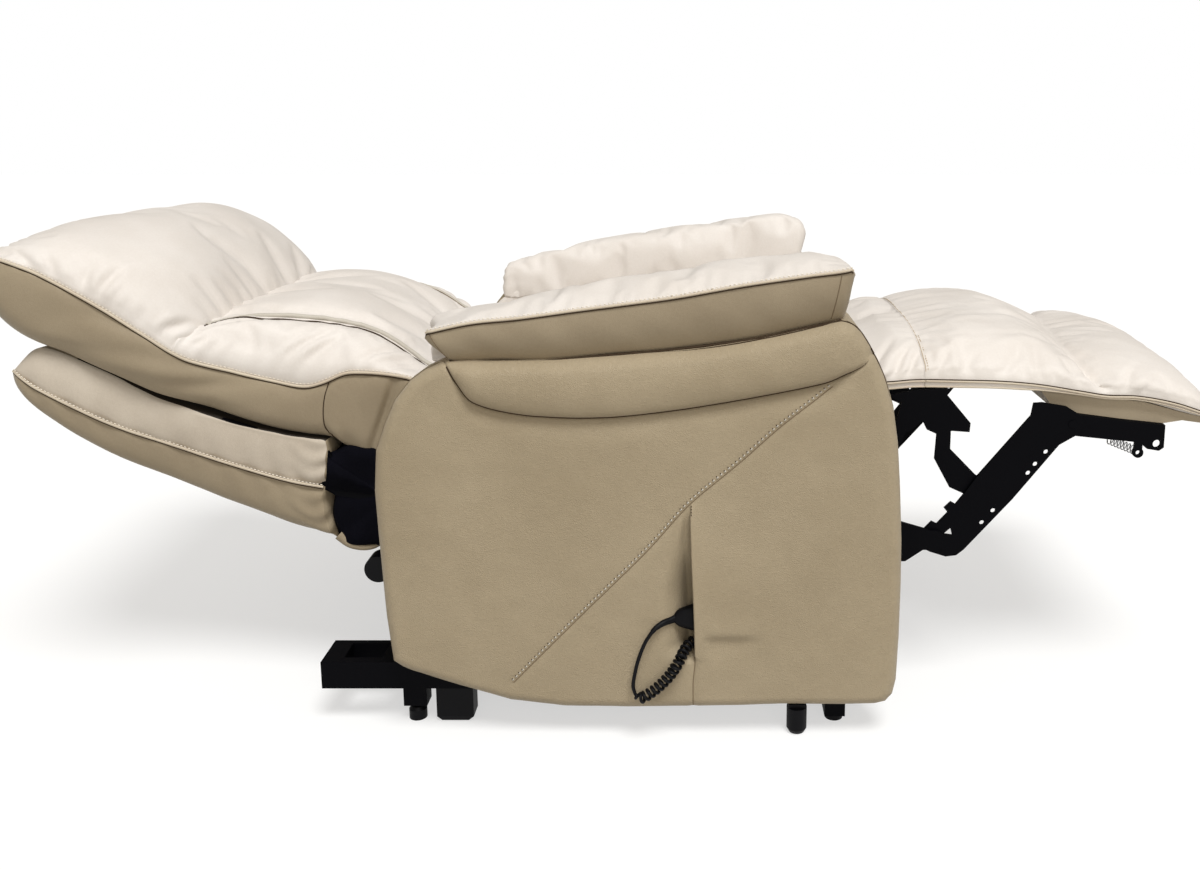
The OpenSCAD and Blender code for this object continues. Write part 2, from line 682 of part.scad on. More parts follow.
// Curved board between the cushions and the shell
module back_board() {
    line = [for (p = gap_line) if (p[0] > 170) p];
    color("#141416") slab(-waist_half_w + 20, 2 * (waist_half_w - 20)) polygon(on_back(concat(
        shift(line, [0, -5 + fit_gap]), reversed(shift(line, [0, 5 - fit_gap])))));
}
back_bracket_y = plate_y - 2 - bracket_t;
module back_brackets() {
    swing_a = -90 + recline_swing;
    color("#15161a") {
        both_sides() {
            slab(-back_bracket_y, bracket_t) polygon(concat(
                [for (a = [0 : 30 : 150]) along(recline, a - 63, 20)],
                on_back([[60, -12], [120, 18], [200, 6.7], [280, -7.2], [280, -30], [80, -40], [20, -20]])));
            cross(recline, pin_r + 2, -plate_y - link_t, -back_bracket_y + 2);
        }
        difference() {
            cross(recline, 13, -back_bracket_y + bracket_t, back_bracket_y - bracket_t);
            cross(recline, 13 - tube_wall, -back_bracket_y, act_y - 8);
            cross(recline, 13 - tube_wall, act_y + 8, back_bracket_y);
        }
        // slotted crank that the recline rod pushes
        difference() {
            slab(act_y - 5, 10) {
                bar(recline, along(recline, swing_a, recline_reach / cos(recline_swing) + 14), 28);
            }
            slab(act_y - 6, 12) slot(recline, swing_a, recline_reach - 3,
                recline_reach / cos(recline_swing) + 3, act_pin_d + 2 * act_clear);
        }
    }
}
cushion_line = shift(gap_line, [0, 5]);
lumbar_r = 196;
module lumbar_cushion() {
    arc = [for (a = [40 : 5 : 65]) along(recline, a, lumbar_r)];
    low = on_back(concat([for (p = cushion_line) if (p[0] < 345) p], [[350, 12.3]]));
    edge = on_back([[350, 90], [290, 108], [235, 118], [160, 132], [100, 150], [40, 180]]);
    crown = on_back([[350, 116], [300, 156], [234, 170], [160, 182], [100, 187], [20, 190]]);
    foot = [[-330, 384], [-252, 374]];
    color("#dccfbc") {
        hull() {
            slab(-waist_half_w, 2 * waist_half_w) polygon(concat(low, edge));
            slab(-waist_half_w + 60, 2 * (waist_half_w - 60)) polygon(concat(low, crown));
        }
        slab(-waist_half_w + 4, 2 * (waist_half_w - 4)) polygon(concat(
            [on_back([[118, 50]])[0]], foot, arc, [on_back([[40, 186]])[0], on_back([[120, 120]])[0]]));
    }
}
module head_cushion() {
    low = on_back(concat([[352, 12.1]], [for (p = cushion_line) if (p[0] > 352) p]));
    end = on_back([[607, 2], [632, 16], [652, 40], [664, 66]]);
    edge = on_back([[646, 84], [600, 93], [500, 96], [420, 90], [352, 84]]);
    crown = on_back([[668, 84], [640, 112], [595, 136], [530, 158], [470, 168], [420, 160], [375, 136],
        [352, 116]]);
    color("#dccfbc") intersection() {
        hull() {
            slab(-head_half_w, 2 * head_half_w) polygon(concat(low, end, edge));
            slab(-head_half_w + 70, 2 * (head_half_w - 70)) polygon(concat(low, end, crown));
        }
        tapered(-60, 260);
    }
}

// ---- Footrest ----
pad_low = [[fold_x, fold_z - 20], [506, fold_z - 17], [581, fold_z - 19], [639, fold_z - 23],
    [channel_x - 30, fold_z - 37], [channel_x - 1, fold_z - 41]];
module bridge_pad() {
    nose = [[fold_x - 22, fold_z - 16], [fold_x - 36, fold_z], [fold_x - 36, fold_z + 18]];
    side = [[fold_x - 22, fold_z + 24], [fold_x, fold_z + 27], [600, fold_z + 25],
        [680, fold_z + 7], [channel_x - 1, fold_z - 12]];
    crown = [[fold_x - 24, fold_z + 35], [fold_x, fold_z + 46], [520, fold_z + 49],
        [600, fold_z + 47], [660, fold_z + 34], [710, fold_z + 15], [channel_x - 1, fold_z - 2]];
    color("#e0d6c8") {
        slab(-foot_half_w, 2 * foot_half_w) polygon(concat(nose, side, reversed(pad_low)));
        hull() {
            slab(-foot_half_w, 2 * foot_half_w) polygon(side);
            slab(-foot_half_w + 55, 2 * (foot_half_w - 55)) polygon(crown);
        }
    }
}
tip_low = [[channel_x + 1, fold_z - 41.5], [786, fold_z - 47], [843, fold_z - 63],
    [foot_tip_x - 8, fold_z - 74]];
module foot_pad() {
    side = [[channel_x + 1, fold_z - 12], [800, fold_z - 20], [foot_tip_x - 12, fold_z - 38]];
    crown = [[channel_x + 1, fold_z - 2], [770, fold_z + 13], [827, fold_z + 2],
        [foot_tip_x - 24, fold_z - 18], [foot_tip_x - 6, fold_z - 32]];
    color("#e0d6c8") {
        slab(-foot_half_w, 2 * foot_half_w) polygon(concat(side,
            [[foot_tip_x, fold_z - 52]], reversed(tip_low)));
        hull() {
            slab(-foot_half_w, 2 * foot_half_w) polygon(concat(side, [[foot_tip_x - 14, fold_z - 42]]));
            slab(-foot_half_w + 55, 2 * (foot_half_w - 55)) polygon(crown);
        }
    }
}
board_low = [[654, fold_z - 60], [751, fold_z - 73], [818, fold_z - 80.5],
    [846, fold_z - 76], [foot_tip_x - 18, fold_z - 81]];
module footrest_board() {
    top = concat([[626, fold_z - 22.5]], shift([for (p = pad_low) if (p[0] > 630) p], [0, -fit_gap]),
        shift(tip_low, [0, -fit_gap]));
    color("#b39a73") slab(-foot_half_w + 8, 2 * (foot_half_w - 8)) polygon(concat(board_low, reversed(top)));
}
lug = pad_pivot + [103, -46];
module footrest_brackets() {
    color("#15161a") both_sides() {
        difference() {
            slab(-inner_y - link_t, link_t) {
                polygon(shift([[-34, 8], [-22, 17.3], [74, 4.2], [141, -3.2], [141, -38],
                    [134, -43], [116, -40], [104, -30], [55, -25], [8, -20], [-22, -16]], pad_pivot));
                disc(lug, 8);
                bar(lug, lug + [0, 18], 12);
            }
            slab(-inner_y - link_t - 1, link_t + 2) disc(lug, 3.6);
            slab(-inner_y - link_t - 1, link_t + 2) disc(pad_pivot + [130, -32], 6);
        }
        // flange screwed to the board
        slab(-inner_y - 1, 30) polygon(concat(
            shift([for (p = board_low) if (p[0] < 820) p], [0, -3.3]),
            reversed(shift([for (p = board_low) if (p[0] < 820) p], [0, -fit_gap]))));
        cross(pad_pivot, pin_r, -wide_y - link_t - 1, -inner_y - 3);
    }
}
spring_turns = 8;
coil_r = 6.5;
module footrest_springs() {
    top = pad_pivot + [62, -29];
    run = lug - top;
    d = unit([run[0], 0, run[1]]);
    u = [-d[2], 0, d[0]];
    n = spring_turns * 10;
    start = [top[0], -inner_y + coil_r + 1.2, top[1]];
    color("#c8ccd0") both_sides()
        sweep([for (i = [0 : n]) start + d * norm(run) * i / n
            + coil_r * (cos(i * 36) * u + sin(i * 36) * [0, 1, 0])], 0.9, 6, d);
}
module lower_links() {
    color("#15161a") {
        both_sides() {
            slab(-lower_y - link_t, link_t) {
                polygon(shift([[-8, 18], [30, 4], [192, -49], [229, -60], [250, -68], [240, -92],
                    [222, -92], [196, -110], [140, -112], [60, -66], [-8, -18]], drive));
                disc(drive, 20);
                disc(knee, 17);
            }
            cross(knee, pin_r, -lower_y - 2, -wide_y + 1);
        }
        difference() {
            cross(drive, 14, -plate_y - link_t, plate_y + link_t);
            cross(drive, 14 - tube_wall, -plate_y - link_t - 1, -act_y - 12);
            cross(drive, 14 - tube_wall, -act_y + 12, plate_y + link_t + 1);
        }
        // slotted crank that the footrest rod pushes
        swing_a = -90 + foot_swing;
        difference() {
            slab(-act_y - 5, 10)
                bar(drive, along(drive, swing_a, foot_reach / cos(foot_swing) + 12), 28);
            slab(-act_y - 6, 12) slot(drive, swing_a, foot_reach - 5,
                foot_reach / cos(foot_swing) + 5, act_pin_d + 2 * foot_act_clear);
        }
    }
}
module wide_links() {
    hole_steps = [[-37, -43], [-52, -62], [-62, -76], [-112, -135], [-128, -154]];
    color("#15161a") both_sides() difference() {
        slab(-wide_y - link_t, link_t) polygon(shift([[-59, 32], [-62, 13], [-139, -82],
            [-157, -109], [-169, -125], [-176, -121], [-186, -131], [-180, -138], [-196, -156],
            [-204, -152], [-216, -165], [-222, -183], [-206, -200], [-181, -208], [-165, -206],
            [-154, -197], [-84, -117], [-63, -90], [-18, -32], [12, -14], [19, 0], [14, 12],
            [-10, 27], [-46, 33]], pad_pivot));
        for (h = hole_steps) cross(pad_pivot + h, 3.8, -arm_outer, 0);
        cross(pad_pivot, pin_r + bore_gap, -arm_outer, 0);
        cross(knee, pin_r + 0.5, -arm_outer, 0);
        slab(-arm_outer, arm_outer) polygon(shift([[-186, -172], [-172, -174], [-175, -162]], pad_pivot));
    }
}
arm_joint = pad_pivot + [-134, -98];
module crooked_arms() {
    color("#15161a") both_sides() {
        slab(-inner_y - link_t, link_t) polygon(shift([
            [-273, 41.5], [-256, 46.5], [-237, 50.3], [-202, 52.8], [-182, 52], [-187, 44], [-150, 0], [-151, -14], [-179, -12], [-179, -40],
            [-139, -81], [-120, -92], [-130, -118], [-152, -112], [-178, -100], [-202, -56], [-200, -17], [-215, -10],
            [-222, 4], [-240, -12], [-246, -14], [-252, -29], [-256, -40], [-266, -14], [-255, 27],
            [-254, 32]], pad_pivot));
        // rivet that fixes the arm to the wide link
        cross(arm_joint, 5, -wide_y, -inner_y - 3);
    }
}

// ---- Handset and its cord ----
handset_x = 87;
handset_z = 178;
handset_tilt = 6;
nose_t = 14;
rocker_depth = 5;
rocker_l = 20;
rocker_w = 27;
handset_y = -pocket_floor_y - fit_gap - handset_l * sin(handset_tilt)
    - handset_t / 2 * cos(handset_tilt);
cord_y = -arm_outer - curl_d / 2 - 1;
cord_start = [62, cord_y + 4, 174];
function rocker_x(i) = 52 + 32 * i;
// Along the handset from its nose, with its face towards -Y
module at_handset() { translate([handset_x, handset_y, handset_z]) rotate([0, 0, handset_tilt]) children(); }
module handset_body() {
    w = handset_w / 2;
    h = handset_l;
    color("#101114") {
        at_handset() difference() {
            union() {
                slab(-handset_t / 2, handset_t) polygon([[12, -14], [30, -w], [h - 10, -w],
                    [h, -w + 10], [h, w - 10], [h - 10, w], [30, w], [12, 14]]);
                slab(-nose_t / 2, nose_t) polygon([[0, -7], [13, -15], [13, 15], [0, 7]]);
            }
            for (i = [0 : 2]) block([rocker_x(i) - rocker_l / 2 - 1, -handset_t / 2 - 1, -15],
                [rocker_x(i) + rocker_l / 2 + 1, -handset_t / 2 + rocker_depth, 15]);
        }
        // moulded strain relief
        rod([handset_x + 3, handset_y, handset_z], cord_start, 4.5);
    }
}
module rocker(i) {
    color("#d9dadb") at_handset() translate([rocker_x(i), -handset_t / 2 + rocker_depth, 0])
        rotate([90, 0, 0]) {
            translate([-rocker_l / 2, -rocker_w / 2, 1.2]) cube([rocker_l, rocker_w, 3.4]);
            translate([-rocker_l / 2, 0, 1.2]) rotate([0, 90, 0]) cylinder(r = 1.15, h = rocker_l);
        }
}
module lift_rocker() { rocker(0); }
module back_rocker() { rocker(1); }
module foot_rocker() { rocker(2); }

cord_end = [120, -pocket_floor_y - 25, 142];
// Route of the straight cord, then of the curly one back into the pocket
cord_points = [cord_start, [53, cord_y, 164], [45, cord_y, 149], [36, cord_y, 124],
    [31, cord_y, 102], [29, cord_y, 86], [32, cord_y, 74]];
curl_points = [[32, cord_y, 74], [40, cord_y, 69], [54, cord_y, 77], [68, cord_y, 89],
    [82, cord_y, 105], [94, cord_y, 125], [100, cord_y + 11, 133], [107, cord_end[1] - 4, 139],
    [113, cord_end[1], 141.6], cord_end];
module handset_cord() { color("#101114") sweep(smooth(cord_points, 2), cord_d / 2, 8); }
module curly_cord() { color("#101114") sweep(smooth(curl_points, 2), curl_d / 2, 10); }
module cord_grommet() {
    color("#101114") {
        translate(cord_end) rotate([0, 90, 0]) cylinder(r = 7, h = 12);
        block(cord_end + [2, 0, -6.5], [cord_end[0] + 12, -pocket_floor_y - fit_gap, cord_end[2] + 6.5]);
    }
}

base_rails();
base_cross_tubes();
rail_caps();
lift_brackets();
levelling_feet();
foot_brackets();
front_glides();
rear_blocks();
power_supply();
mains_inlet();
lift_clevis();
lift_motor();
lift_actuator_tube();
lift_rod();
front_lift_links();
rear_lift_links();
lift_torque_tube();
mechanism_plates();
carriage_cross_tubes();
lift_hangers();
rear_bumpers();
arm_frames();
side_panel_right();
side_panel_left();
pocket_insert();
arm_roll_right();
arm_roll_left();
arm_pad_right();
arm_pad_left();
seat_frame();
seat_springs();
seat_cushion();
control_box();
rear_dust_cover();
recline_motor();
recline_actuator_tube();
recline_rod();
footrest_motor();
footrest_actuator_tube();
footrest_rod();
back_board();
back_brackets();
rear_shell();
lumbar_cushion();
head_cushion();
bridge_pad();
foot_pad();
footrest_board();
footrest_brackets();
footrest_springs();
lower_links();
wide_links();
crooked_arms();
handset_body();
lift_rocker();
back_rocker();
foot_rocker();
handset_cord();
curly_cord();
cord_grommet();
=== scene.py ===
import bpy
import bmesh
import json
import math
import numpy as np
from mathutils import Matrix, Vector, noise


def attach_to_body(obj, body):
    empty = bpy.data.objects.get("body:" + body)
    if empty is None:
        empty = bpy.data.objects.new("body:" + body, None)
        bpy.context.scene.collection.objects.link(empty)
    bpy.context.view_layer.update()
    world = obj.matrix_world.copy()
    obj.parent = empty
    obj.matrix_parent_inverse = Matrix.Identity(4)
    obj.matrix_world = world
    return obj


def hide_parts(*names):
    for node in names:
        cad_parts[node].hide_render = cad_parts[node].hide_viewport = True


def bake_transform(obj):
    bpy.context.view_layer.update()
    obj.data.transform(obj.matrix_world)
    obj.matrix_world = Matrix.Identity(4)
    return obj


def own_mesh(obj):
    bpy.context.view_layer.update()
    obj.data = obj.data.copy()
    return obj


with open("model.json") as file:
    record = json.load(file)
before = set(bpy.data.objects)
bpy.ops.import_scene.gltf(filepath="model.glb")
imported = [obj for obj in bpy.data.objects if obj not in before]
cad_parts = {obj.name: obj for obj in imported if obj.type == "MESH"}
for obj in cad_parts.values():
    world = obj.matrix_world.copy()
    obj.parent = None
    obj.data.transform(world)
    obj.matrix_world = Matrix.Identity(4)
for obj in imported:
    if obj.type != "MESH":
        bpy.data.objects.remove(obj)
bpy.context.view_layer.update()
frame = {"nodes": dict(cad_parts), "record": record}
scene = bpy.context.scene
nodes = frame["nodes"]
print("frame loaded")

camData = bpy.data.cameras.new("viewCamera")
cam = bpy.data.objects.new("viewCamera", camData)
scene.collection.objects.link(cam)
cam.location = (0.120, -1.872, 0.8793)
cam.rotation_euler = (math.radians(80), 0, 0)
camData.sensor_width = 36
camData.lens = 33.45
camData.shift_x = -0.0817
camData.shift_y = -0.1053
camData.clip_start = 0.05
scene.camera = cam


def mm(points):
    return np.array(points, float) / 1000.0


# count points at even steps along a smooth line through the given ones
def smoothLine(points, count):
    p = np.array(points, float)
    d = np.r_[0, np.cumsum(np.linalg.norm(np.diff(p, axis=0), axis=1))]
    m = np.zeros_like(p)
    m[1:-1] = (p[2:] - p[:-2]) / (d[2:] - d[:-2])[:, None]
    m[0] = (p[1] - p[0]) / (d[1] - d[0])
    m[-1] = (p[-1] - p[-2]) / (d[-1] - d[-2])
    t = np.linspace(0, d[-1], count)
    i = np.clip(np.searchsorted(d, t, side="right") - 1, 0, len(p) - 2)
    h = d[i + 1] - d[i]
    u = ((t - d[i]) / h)[:, None]
    h = h[:, None]
    return ((2 * u**3 - 3 * u**2 + 1) * p[i] + (u**3 - 2 * u**2 + u) * h * m[i]
            + (-2 * u**3 + 3 * u**2) * p[i + 1] + (u**3 - u**2) * h * m[i + 1])


# a smooth function through points: millimetres in, metres out
def along(points):
    line = smoothLine(mm(sorted(points)), 400)
    line = line[np.argsort(line[:, 0])]
    return lambda x: np.interp(x, line[:, 0], line[:, 1])


def straightAlong(points):
    line = mm(points)
    return lambda x: np.interp(x, line[:, 0], line[:, 1])


def ease(x, lo, hi):
    t = np.clip((x - lo) / (hi - lo), 0, 1)
    return t * t * (3 - 2 * t)


def bell(x, width):
    return np.exp(-(x / width) ** 2)


def link(obj):
    scene.collection.objects.link(obj)
    return obj


# normals of rings of points, turned away from the middle of each ring
def ringNormals(grid):
    du = np.gradient(grid, axis=0)
    dv = (np.roll(grid, -1, axis=1) - np.roll(grid, 1, axis=1)) / 2
    n = np.cross(du, dv)
    n /= np.maximum(np.linalg.norm(n, axis=2, keepdims=True), 1e-12)
    away = grid - grid.mean(axis=1, keepdims=True)
    return n * (1 if (n * away).sum() > 0 else -1)


def meshObject(name, verts, faces, mat, closed=True):
    mesh = bpy.data.meshes.new(name)
    mesh.from_pydata([tuple(v) for v in verts], [], faces)
    mesh.materials.append(mat)
    if closed:
        bm = bmesh.new()
        bm.from_mesh(mesh)
        bmesh.ops.recalc_face_normals(bm, faces=bm.faces)
        bm.to_mesh(mesh)
        bm.free()
    for poly in mesh.polygons:
        poly.use_smooth = True
    mesh.update()
    return link(bpy.data.objects.new(name, mesh))


# a closed skin over rings of points, with both ends filled by smaller rings
def skin(name, grid, mat, capRings=4):
    rows, cols = grid.shape[:2]
    verts = list(grid.reshape(-1, 3))
    faces = []

    def join(a, b):
        for j in range(cols):
            k = (j + 1) % cols
            faces.append((a + j, a + k, b + k, b + j))

    for i in range(rows - 1):
        join(i * cols, (i + 1) * cols)
    for row in (0, rows - 1):
        centre = grid[row].mean(axis=0)
        last = row * cols
        for r in range(1, capRings):
            start = len(verts)
            verts.extend(centre + (grid[row] - centre) * (1 - r / capRings))
            join(last, start)
            last = start
        verts.append(centre)
        for j in range(cols):
            faces.append((last + j, last + (j + 1) % cols, len(verts) - 1))
    return meshObject(name, verts, faces, mat)


# an open sheet over rows of points
def openSheet(name, grid, mat):
    rows, cols = grid.shape[:2]
    faces = [(i * cols + j, i * cols + j + 1, (i + 1) * cols + j + 1, (i + 1) * cols + j)
             for i in range(rows - 1) for j in range(cols - 1)]
    return meshObject(name, grid.reshape(-1, 3), faces, mat, closed=False)


# fractal noise at each point, with its own scale on each axis
def noiseOn(grid, scale, seed=0.0):
    sx, sy, sz = (scale, scale, scale) if np.isscalar(scale) else scale
    flat = grid.reshape(-1, 3)
    out = np.empty(len(flat))
    for i, (x, y, z) in enumerate(flat):
        out[i] = noise.fractal(Vector((x * sx + seed, y * sy, z * sz - seed)), 1.0, 2.0, 2)
    return out.reshape(grid.shape[:-1])


# small folds that leave a seam at right angles and die out over reach
def puckers(distance, run, size, period, reach, seed):
    wave = np.sin(2 * math.pi * run / period + 2.5 * np.sin(run * 37 + seed))
    patch = 0.5 + 0.5 * np.sin(run * 11 + seed * 1.7)
    return size * wave * patch * np.exp(-distance / reach)


# single folds: each row is a start, an end, a height and a width in metres
def creases(a, b, rows):
    out = np.zeros(np.broadcast(a, b).shape)
    for a1, b1, a2, b2, height, width in rows:
        da, db = a2 - a1, b2 - b1
        size = math.hypot(da, db)
        t = ((a - a1) * da + (b - b1) * db) / size ** 2
        off = ((a - a1) * db - (b - b1) * da) / size
        near = np.clip(t, 0, 1)
        gap = np.hypot(off, (t - near) * size)
        out += height * np.exp(-(gap / width) ** 2) * (0.4 + 0.6 * np.sin(math.pi * near))
    return out


def tube(name, points, radius, mat, sides=8):
    data = bpy.data.curves.new(name, "CURVE")
    data.dimensions = "3D"
    data.bevel_depth = 1.0
    data.bevel_resolution = max(1, sides // 4)
    data.use_fill_caps = True
    spline = data.splines.new("POLY")
    spline.points.add(len(points) - 1)
    radii = np.broadcast_to(radius, len(points))
    for q, p, r in zip(spline.points, points, radii):
        q.co = (*p, 1)
        q.radius = r
    data.materials.append(mat)
    return link(bpy.data.objects.new(name, data))


# a row of short thread capsules along a line
def stitchRow(name, points, mat, pitch=0.0052, length=0.0036, radius=0.0007, lift=(0, -1, 0)):
    p = np.array(points, float)
    d = np.r_[0, np.cumsum(np.linalg.norm(np.diff(p, axis=0), axis=1))]
    count = max(2, int(d[-1] / pitch))
    verts, faces = [], []
    ring = [(math.cos(a), math.sin(a)) for a in np.linspace(0, 2 * math.pi, 7)[:-1]]
    for n in range(count):
        mid = (n + 0.5) * d[-1] / count
        ends = np.array([[np.interp(t, d, p[:, k]) for k in range(3)]
                         for t in (mid - length / 2, mid + length / 2)])
        way = ends[1] - ends[0]
        size = max(np.linalg.norm(way), 1e-6)
        way /= size
        side = np.cross(way, np.array(lift, float))
        side /= max(np.linalg.norm(side), 1e-9)
        up = np.cross(side, way)
        base = len(verts)
        for at, r in ((-0.02, 0.35), (0.2, 1.0), (0.8, 1.0), (1.02, 0.35)):
            centre = ends[0] + way * size * at
            verts.extend(centre + radius * r * (a * side + b * up) for a, b in ring)
        for q in range(3):
            for j in range(6):
                k = (j + 1) % 6
                faces.append((base + q * 6 + j, base + q * 6 + k,
                              base + q * 6 + 6 + k, base + q * 6 + 6 + j))
        faces.append(tuple(base + j for j in range(5, -1, -1)))
        faces.append(tuple(base + 18 + j for j in range(6)))
    return meshObject(name, verts, faces, mat)


clothPieces = []


# marks a piece for the cloth run, with the points that are held, the pressure inside it,
# the most that any point may move, and how much the leather is larger than the shape
def asCloth(obj, held, pressure, cap, grow=0.02):
    group = obj.vertex_groups.new(name="held")
    group.add([int(i) for i in held], 1.0, "REPLACE")
    clothPieces.append((obj, pressure, cap, grow))


# inflates all marked pieces in one run, then keeps the result as their shape
def runCloth():
    for obj, pressure, cap, grow in clothPieces:
        mod = obj.modifiers.new("cloth", "CLOTH")
        cloth = mod.settings
        cloth.vertex_group_mass = "held"
        cloth.quality = 5
        cloth.mass = 0.2
        cloth.tension_stiffness = 12
        cloth.compression_stiffness = 12
        cloth.shear_stiffness = 4
        cloth.bending_stiffness = 2.0
        cloth.air_damping = 4
        cloth.use_pressure = True
        cloth.uniform_pressure_force = pressure
        cloth.shrink_min = -grow
        cloth.shrink_max = -grow
        cloth.effector_weights.gravity = 0
        mod.point_cache.frame_start = 1
        mod.point_cache.frame_end = 20
    for f in range(1, 21):
        scene.frame_set(f)
    deps = bpy.context.evaluated_depsgraph_get()
    for obj, pressure, cap, grow in clothPieces:
        flat = np.empty(len(obj.data.vertices) * 3)
        moved = np.empty_like(flat)
        obj.data.vertices.foreach_get("co", flat)
        obj.evaluated_get(deps).data.vertices.foreach_get("co", moved)
        step = (moved - flat).reshape(-1, 3)
        size = np.linalg.norm(step, axis=1, keepdims=True)
        step *= np.minimum(1.0, cap / np.maximum(size, 1e-9))
        print("cloth", obj.name, "moved", round(float(size.max()), 4), round(float(size.mean()), 4))
        obj.modifiers.clear()
        obj.data.vertices.foreach_set("co", flat + step.reshape(-1))
        obj.data.update()
    scene.frame_set(1)


def socketGroup(name, inputs, outputs):
    group = bpy.data.node_groups.new(name, "ShaderNodeTree")
    for label, kind, value in inputs:
        sock = group.interface.new_socket(name=label, in_out="INPUT", socket_type=kind)
        if value is not None:
            sock.default_value = value
    for label, kind in outputs:
        group.interface.new_socket(name=label, in_out="OUTPUT", socket_type=kind)
    return group, group.nodes.new("NodeGroupInput"), group.nodes.new("NodeGroupOutput")


def node(tree, kind, **values):
    n = tree.nodes.new(kind)
    for key, value in values.items():
        if key in n.inputs:
            n.inputs[key].default_value = value
        else:
            setattr(n, key, value)
    return n


# links sockets in a node tree: each row is a node, its output, the next node and its input
def plug(tree, *rows):
    for source, output, target, socket in rows:
        tree.links.new(source.outputs[output], target.inputs[socket])


# grain of a hide: pebbled cells, pores and a slow drift of tone
grain, gIn, gOut = socketGroup("hideGrain",
    [("Cell", "NodeSocketFloat", 620.0), ("Depth", "NodeSocketFloat", 0.35),
     ("Drift", "NodeSocketFloat", 9.0)],
    [("Tone", "NodeSocketFloat"), ("Pore", "NodeSocketFloat"), ("Normal", "NodeSocketVector")])
gCoord = node(grain, "ShaderNodeTexCoord")
gVor = node(grain, "ShaderNodeTexVoronoi", feature="DISTANCE_TO_EDGE")
gFine = node(grain, "ShaderNodeTexNoise", Detail=3.0, Roughness=0.6)
gSlow = node(grain, "ShaderNodeTexNoise", Detail=3.0, Roughness=0.55)
gClamp = node(grain, "ShaderNodeMapRange")
gClamp.inputs["From Max"].default_value = 0.35
gFineScale = node(grain, "ShaderNodeMath", operation="MULTIPLY")
gFineScale.inputs[1].default_value = 0.45
gAdd = node(grain, "ShaderNodeMath", operation="ADD")
gBump = node(grain, "ShaderNodeBump", Distance=0.0005)
plug(grain, (gCoord, "Object", gVor, "Vector"), (gCoord, "Object", gFine, "Vector"),
     (gCoord, "Object", gSlow, "Vector"), (gIn, "Cell", gVor, "Scale"),
     (gIn, "Cell", gFineScale, 0), (gFineScale, 0, gFine, "Scale"), (gIn, "Drift", gSlow, "Scale"),
     (gVor, "Distance", gClamp, "Value"), (gClamp, "Result", gAdd, 0), (gFine, 0, gAdd, 1),
     (gAdd, 0, gBump, "Height"), (gIn, "Depth", gBump, "Strength"),
     (gSlow, 0, gOut, "Tone"), (gFine, 0, gOut, "Pore"), (gBump, "Normal", gOut, "Normal"))

# wear of a painted or moulded surface: faint specks and uneven gloss
wear, wIn, wOut = socketGroup("surfaceWear",
    [("Scale", "NodeSocketFloat", 120.0), ("Depth", "NodeSocketFloat", 0.1)],
    [("Mask", "NodeSocketFloat"), ("Normal", "NodeSocketVector")])
wCoord = node(wear, "ShaderNodeTexCoord")
wNoise = node(wear, "ShaderNodeTexNoise", Detail=6.0, Roughness=0.7)
wBump = node(wear, "ShaderNodeBump", Distance=0.0004)
plug(wear, (wCoord, "Object", wNoise, "Vector"), (wIn, "Scale", wNoise, "Scale"),
     (wNoise, 0, wBump, "Height"), (wIn, "Depth", wBump, "Strength"),
     (wNoise, 0, wOut, "Mask"), (wBump, "Normal", wOut, "Normal"))


def material(name):
    mat = bpy.data.materials.new(name)
    mat.use_nodes = True
    tree = mat.node_tree
    return mat, tree, tree.nodes["Principled BSDF"]


def leather(name, dark, light, rough=0.46, cell=620.0, depth=0.35, sheen=0.06, drift=9.0,
            specular=0.3):
    mat, tree, bsdf = material(name)
    g = node(tree, "ShaderNodeGroup", node_tree=grain)
    g.inputs["Cell"].default_value = cell
    g.inputs["Depth"].default_value = depth
    g.inputs["Drift"].default_value = drift
    mix = node(tree, "ShaderNodeMath", operation="MULTIPLY_ADD")
    mix.inputs[1].default_value = 0.45
    ramp = node(tree, "ShaderNodeValToRGB")
    ramp.color_ramp.elements[0].position = 0.52
    ramp.color_ramp.elements[0].color = (*dark, 1)
    ramp.color_ramp.elements[1].position = 0.92
    ramp.color_ramp.elements[1].color = (*light, 1)
    gloss = node(tree, "ShaderNodeMapRange")
    gloss.inputs["To Min"].default_value = rough - 0.05
    gloss.inputs["To Max"].default_value = rough + 0.07
    plug(tree, (g, "Pore", mix, 0), (g, "Tone", mix, 2), (mix, 0, ramp, "Fac"),
         (g, "Tone", gloss, "Value"), (ramp, "Color", bsdf, "Base Color"),
         (gloss, "Result", bsdf, "Roughness"), (g, "Normal", bsdf, "Normal"))
    bsdf.inputs["Specular IOR Level"].default_value = specular
    bsdf.inputs["Sheen Weight"].default_value = sheen
    return mat


def solid(name, colour, rough, metal=0.0, scale=120.0, depth=0.1, spread=0.08, specular=0.5):
    mat, tree, bsdf = material(name)
    g = node(tree, "ShaderNodeGroup", node_tree=wear)
    g.inputs["Scale"].default_value = scale
    g.inputs["Depth"].default_value = depth
    gloss = node(tree, "ShaderNodeMapRange")
    gloss.inputs["To Min"].default_value = rough - spread
    gloss.inputs["To Max"].default_value = rough + spread
    plug(tree, (g, "Mask", gloss, "Value"), (gloss, "Result", bsdf, "Roughness"),
         (g, "Normal", bsdf, "Normal"))
    bsdf.inputs["Base Color"].default_value = (*colour, 1)
    bsdf.inputs["Metallic"].default_value = metal
    bsdf.inputs["Specular IOR Level"].default_value = specular
    return mat


